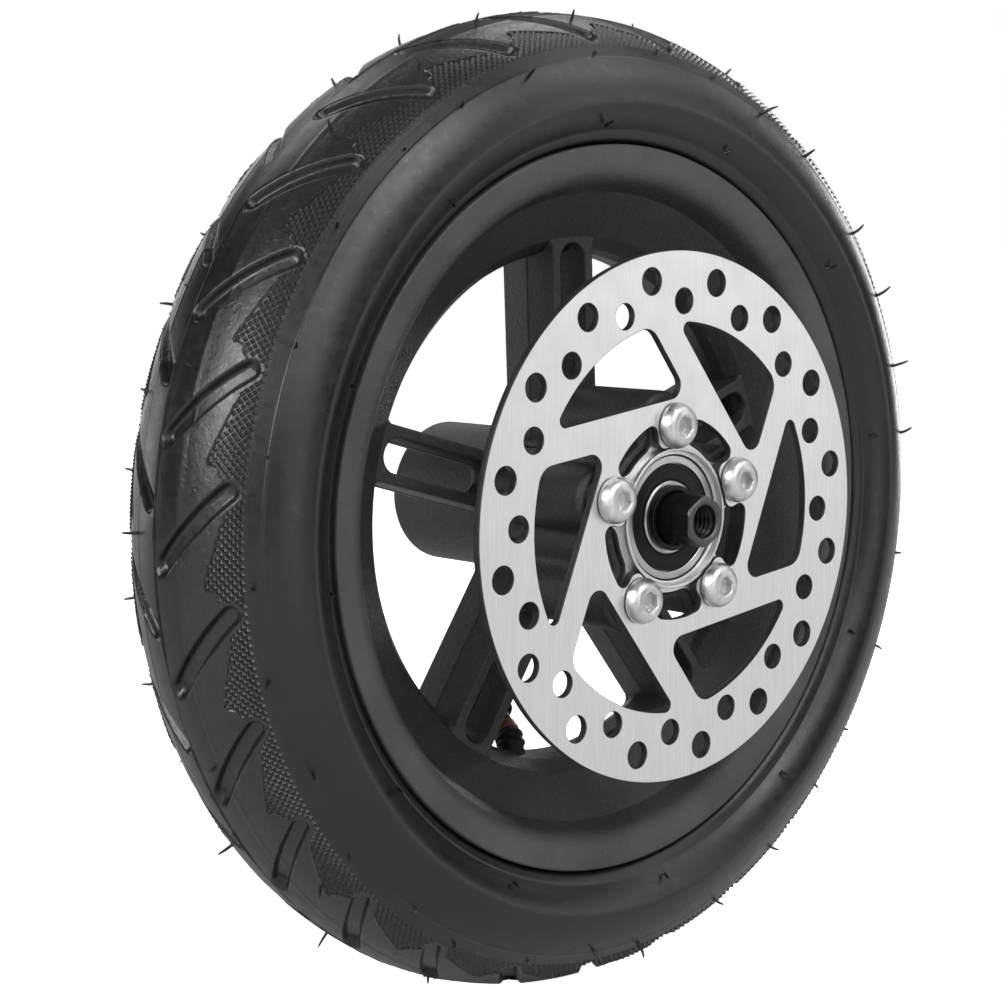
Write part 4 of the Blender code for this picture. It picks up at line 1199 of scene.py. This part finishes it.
def build_axle():
    inset_y = HEX_LENGTH + 0.5
    rows = axle_end(AXLE_FRONT_Y, 1)
    rows += [(AXLE_R, y, None)
             for y in np.linspace(AXLE_FRONT_Y + inset_y, AXLE_REAR_Y - inset_y, 12)]
    rows += axle_end(AXLE_REAR_Y, -1)[::-1]
    mats = []
    for (r0, y0, _), (r1, y1, _) in zip(rows, rows[1:]):
        tip = min(abs(y0), abs(y1)) > AXLE_REAR_Y - 0.75 and min(r0, r1) > TAP_R + 0.3
        mats.append(1 if tip else 0)
    make_object("axle_shaft", [spun(rows, 96, False, row_mats=mats)], [BLACKED, AXLE_TIP],
                "axle_assembly", 32, ["axle"])


def build_sleeve(name, node, radius, bore_round, outer_round, material):
    low, high = mm_box(node)
    profile = [(SLEEVE_BORE_R, low[1], bore_round), (radius, low[1], outer_round),
               (radius, high[1], outer_round), (SLEEVE_BORE_R, high[1], bore_round)]
    make_object(name, [spun(rounded(profile, steps=4), 72)], [material], "axle_assembly", 35,
                [node])


build_axle()
build_sleeve("bearing_spacer", "bearing_spacer_tube", SPACER_R, bore_round=0.2,
             outer_round=0.3, material=RACE)
for side in SIDES:
    node = f"{side}_axle_collar"
    build_sleeve(f"{side}_collar", node, mm_box(node)[1][0], bore_round=0.15,
                 outer_round=0.25, material=BLACKED)

# ------------------------------------------------------------------ valve
# Drawn from the rim inwards along +X, bending towards +Y, then turned to its place.
VALVE_TURN = Matrix.Rotation(-math.radians(256.0), 4, "Y")
BEND_ANGLE = math.radians(55.0)
STEM_START, BEND_START, BEND_R, STEM_END_LENGTH = 71.5, 60.0, 5.0, 14.0


def valve_path():
    """Path, point where the bend ends, and direction from there to the tip."""
    steps = int((STEM_START - BEND_START) / 0.5) + 1
    points = [Vector((r, 0, 0)) for r in np.linspace(STEM_START, BEND_START, steps)]
    for i in range(1, 13):
        a = BEND_ANGLE * i / 12
        points.append(Vector((BEND_START - BEND_R * math.sin(a), BEND_R * (1 - math.cos(a)), 0)))
    end = points[-1]
    direction = Vector((-math.cos(BEND_ANGLE), math.sin(BEND_ANGLE), 0))
    for s in np.linspace(0, STEM_END_LENGTH, int(STEM_END_LENGTH / 0.12))[1:]:
        points.append(end + direction * s)
    return [VALVE_TURN @ p for p in points], VALVE_TURN @ end, (VALVE_TURN @ direction).normalized()


def build_stem(path, bend_end, direction):
    count, pitch = 36, 0.8
    along = [(p - bend_end).dot(direction) for p in path]
    bend_count = sum(1 for a in along if a <= 1e-6)

    def radius(i):
        if i < bend_count:
            return 3.45 if i % 4 < 2 else 3.1  # ribbed
        if along[i] < 2.6:
            return 3.05 if along[i] < 0.3 or along[i] > 2.2 else 3.25
        if along[i] < 5.6:
            return 2.95 if 3.2 < along[i] < 5.2 else 2.75
        return 3.45

    def stem_thread(i, angles):
        if i < bend_count or along[i] < 6.2:
            return np.zeros(len(angles))
        phase = (along[i] / pitch - angles / (2 * math.pi)) % 1.0
        return -0.22 * np.abs(phase * 2 - 1)

    radii = [radius(i) for i in range(len(path))]
    verts, faces, _ = sweep(path, radii, count, 1.6, stem_thread)
    mats = []
    for i, a in enumerate(along):
        mats += [0 if i < bend_count or 2.6 < a < 5.6 else 1] * count
    mats += [1] * (len(path) * count)  # the bore
    make_object("valve_stem_body", [(verts, faces, mats)], [SEAL, COPPER], "wheel", 40,
                ["valve_stem"])


# The core, pin and cap are (r, y) about the stem, with y = 0 at its tip and +y outwards.
def build_core(place):
    rows = [(0.95, -8.0), (1.2, -8.0),
            *thread(-7.6, -1.4, pitch=0.7, major_r=1.3, depth=0.14, lead_in=0.5),
            (1.2, -1.0), (0.95, -1.0)]
    make_object("valve_core_body", [moved(spun(rows, 32), place)], [BRASS], "wheel", 35,
                ["valve_core"])


def build_pin(place):
    rows = rounded([(0, -8.6), (0.6, -8.6, 0.1), (0.6, -1.2, 0.1), (0.42, -0.9, 0.1),
                    (0.42, -0.55, 0.1), (0.5, -0.4, 0.05), (0, -0.4)], False, 3)
    make_object("valve_pin_body", [moved(spun(rows, 24, False), place)], [RACE], "valve_pin",
                35, ["valve_pin"])


def build_cap(place):
    """Closed cap with twenty grip ribs."""
    corners = rounded([(0, 2.2), (3.2, 2.2, 0.5), (4.3, 1.5, 0.5), (4.75, 0.4, 0.3),
                       (4.9, -0.4, 0.2), (4.9, -6.6, 0.2), (4.7, -7.4, 0.2),
                       (4.25, -7.4, 0.1), (4.25, 1.0, 0.3), (0, 1.0)], False, 4)

    def grip(r, y, angles):
        rib = 0.5 + 0.5 * np.cos(angles * 20)
        depth = 0.2 if r > 4.6 and -6.4 < y < -0.2 else 0.0
        return r - depth * (1 - np.clip(rib * 1.6, 0, 1))

    rows = []
    for (r0, y0), (r1, y1) in zip(corners, corners[1:]):
        rows.append((r0, y0, grip))
        if abs(y1 - y0) > 2 and r0 > 4.6:
            rows += [(r0 + (r1 - r0) * t, y0 + (y1 - y0) * t, grip)
                     for t in np.linspace(0, 1, 8)[1:-1]]
    rows.append((*corners[-1], grip))
    make_object("valve_cap_body", [moved(spun(rows, 120, False), place)], [CAP], "valve_cap",
                40, ["valve_cap"])


stem_path, bend_end, stem_direction = valve_path()
build_stem(stem_path, bend_end, stem_direction)
tip = bend_end + stem_direction * STEM_END_LENGTH
tip_turn = Vector((0, 1, 0)).rotation_difference(stem_direction)
tip_place = Matrix.Translation(tip) @ tip_turn.to_matrix().to_4x4()
build_core(tip_place)
build_pin(tip_place)
build_cap(tip_place)


# ------------------------------------------- floor, light and camera, in metres
def floor_material():
    """Pale matt floor that glows nearly white to the camera only."""
    sh = Shader("pale_floor", rough=0.9)
    tone = sh.ramp(sh.noise(scale=6, detail=3), span=(0.3, 0.7))
    sh.color(sh.mix(tone, (0.66, 0.66, 0.66), (0.68, 0.68, 0.68)))
    inputs = sh.bsdf.inputs
    inputs["Specular IOR Level"].default_value = 0.1
    inputs["Emission Color"].default_value = (1, 1, 1, 1)
    seen = sh.node("ShaderNodeLightPath").outputs["Is Camera Ray"]
    sh.link(sh.times(seen, 0.985), inputs["Emission Strength"])
    return sh.mat


def build_floor():
    material = floor_material()
    bm = bmesh.new()
    bmesh.ops.create_grid(bm, x_segments=1, y_segments=1, size=6.0)
    mesh = bpy.data.meshes.new("studio_floor")
    bm.to_mesh(mesh)
    bm.free()
    mesh.materials.append(material)
    floor = bpy.data.objects.new("studio_floor", mesh)
    floor.location = (0, 0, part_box("tyre")[0].z - 0.0006)
    bpy.context.scene.collection.objects.link(floor)


def build_world():
    """White to the camera, dim to every other ray."""
    world = bpy.data.worlds.new("studio")
    world.use_nodes = True
    tree = world.node_tree
    background = tree.nodes["Background"]
    background.inputs["Color"].default_value = (1, 1, 1, 1)
    light_path = tree.nodes.new("ShaderNodeLightPath")
    strength = tree.nodes.new("ShaderNodeMapRange")
    strength.inputs["To Min"].default_value = 0.05
    strength.inputs["To Max"].default_value = 1.0
    tree.links.new(light_path.outputs["Is Camera Ray"], strength.inputs["Value"])
    tree.links.new(strength.outputs["Result"], background.inputs["Strength"])
    bpy.context.scene.world = world


LIGHT_DISTANCE = 1.25
# name, azimuth and elevation in degrees, power in watts, edge length
SOFTBOXES = [
    ("front_right_low", 315.0, 3, 1.35, 0.5),
    ("front_top", 270.0, 50, 5.5, 0.5),
    ("left", 190.0, 24, 10.4, 0.5),
    ("left_near", 206.0, 19, 1.5, 0.3),
    ("front_left", 247.5, 26, 3.1, 0.5),
    ("front_left_low", 256.0, 1, 0.8, 0.22),
    ("front_right", 315.0, 26, 1.45, 0.5),
    ("right_top", 330.0, 50, 2.1, 0.5),
    ("right", 0.0, 26, 0.8, 0.5),
    ("back_right_low", 22.5, 3, 4.1, 0.5),
    ("back_right_top", 30.0, 50, 2.2, 0.5),
    ("back_low", 67.5, 3, 2.8, 0.8),
    ("back", 67.5, 26, 0.35, 0.5),
    ("back_left_low", 112.5, 3, 2.0, 0.5),
    ("back_top", 90.0, 50, 1.9, 0.5),
]


def build_softbox(name, azimuth, elevation, power, size):
    """Square panel on a sphere round the wheel, facing its centre."""
    light = bpy.data.lights.new(name, "AREA")
    light.shape = "SQUARE"
    light.size = size
    light.energy = power
    a, e = math.radians(azimuth), math.radians(elevation)
    away = Vector((math.cos(a) * math.cos(e), math.sin(a) * math.cos(e), math.sin(e)))
    obj = bpy.data.objects.new(name, light)
    obj.location = away * LIGHT_DISTANCE
    obj.rotation_euler = (-away).to_track_quat("-Z", "Y").to_euler()
    bpy.context.scene.collection.objects.link(obj)


def build_camera():
    camera = bpy.data.objects.new("camera", bpy.data.cameras.new("camera"))
    right = Vector((0.7368, -0.6762, 0.0))
    up = Vector((0.0786, 0.0856, 0.9933))
    backward = Vector((-0.6716, -0.7318, 0.1162))
    turn = Matrix((right, up, backward)).transposed().to_4x4()
    camera.matrix_world = Matrix.Translation((-0.3870, -0.4024, 0.0659)) @ turn
    camera.data.lens = 85.24
    camera.data.sensor_width = 36.0
    bpy.context.scene.collection.objects.link(camera)
    bpy.context.scene.camera = camera


build_floor()
build_world()
for softbox in SOFTBOXES:
    build_softbox(*softbox)
build_camera()
bpy.context.scene.view_settings.view_transform = "Standard"
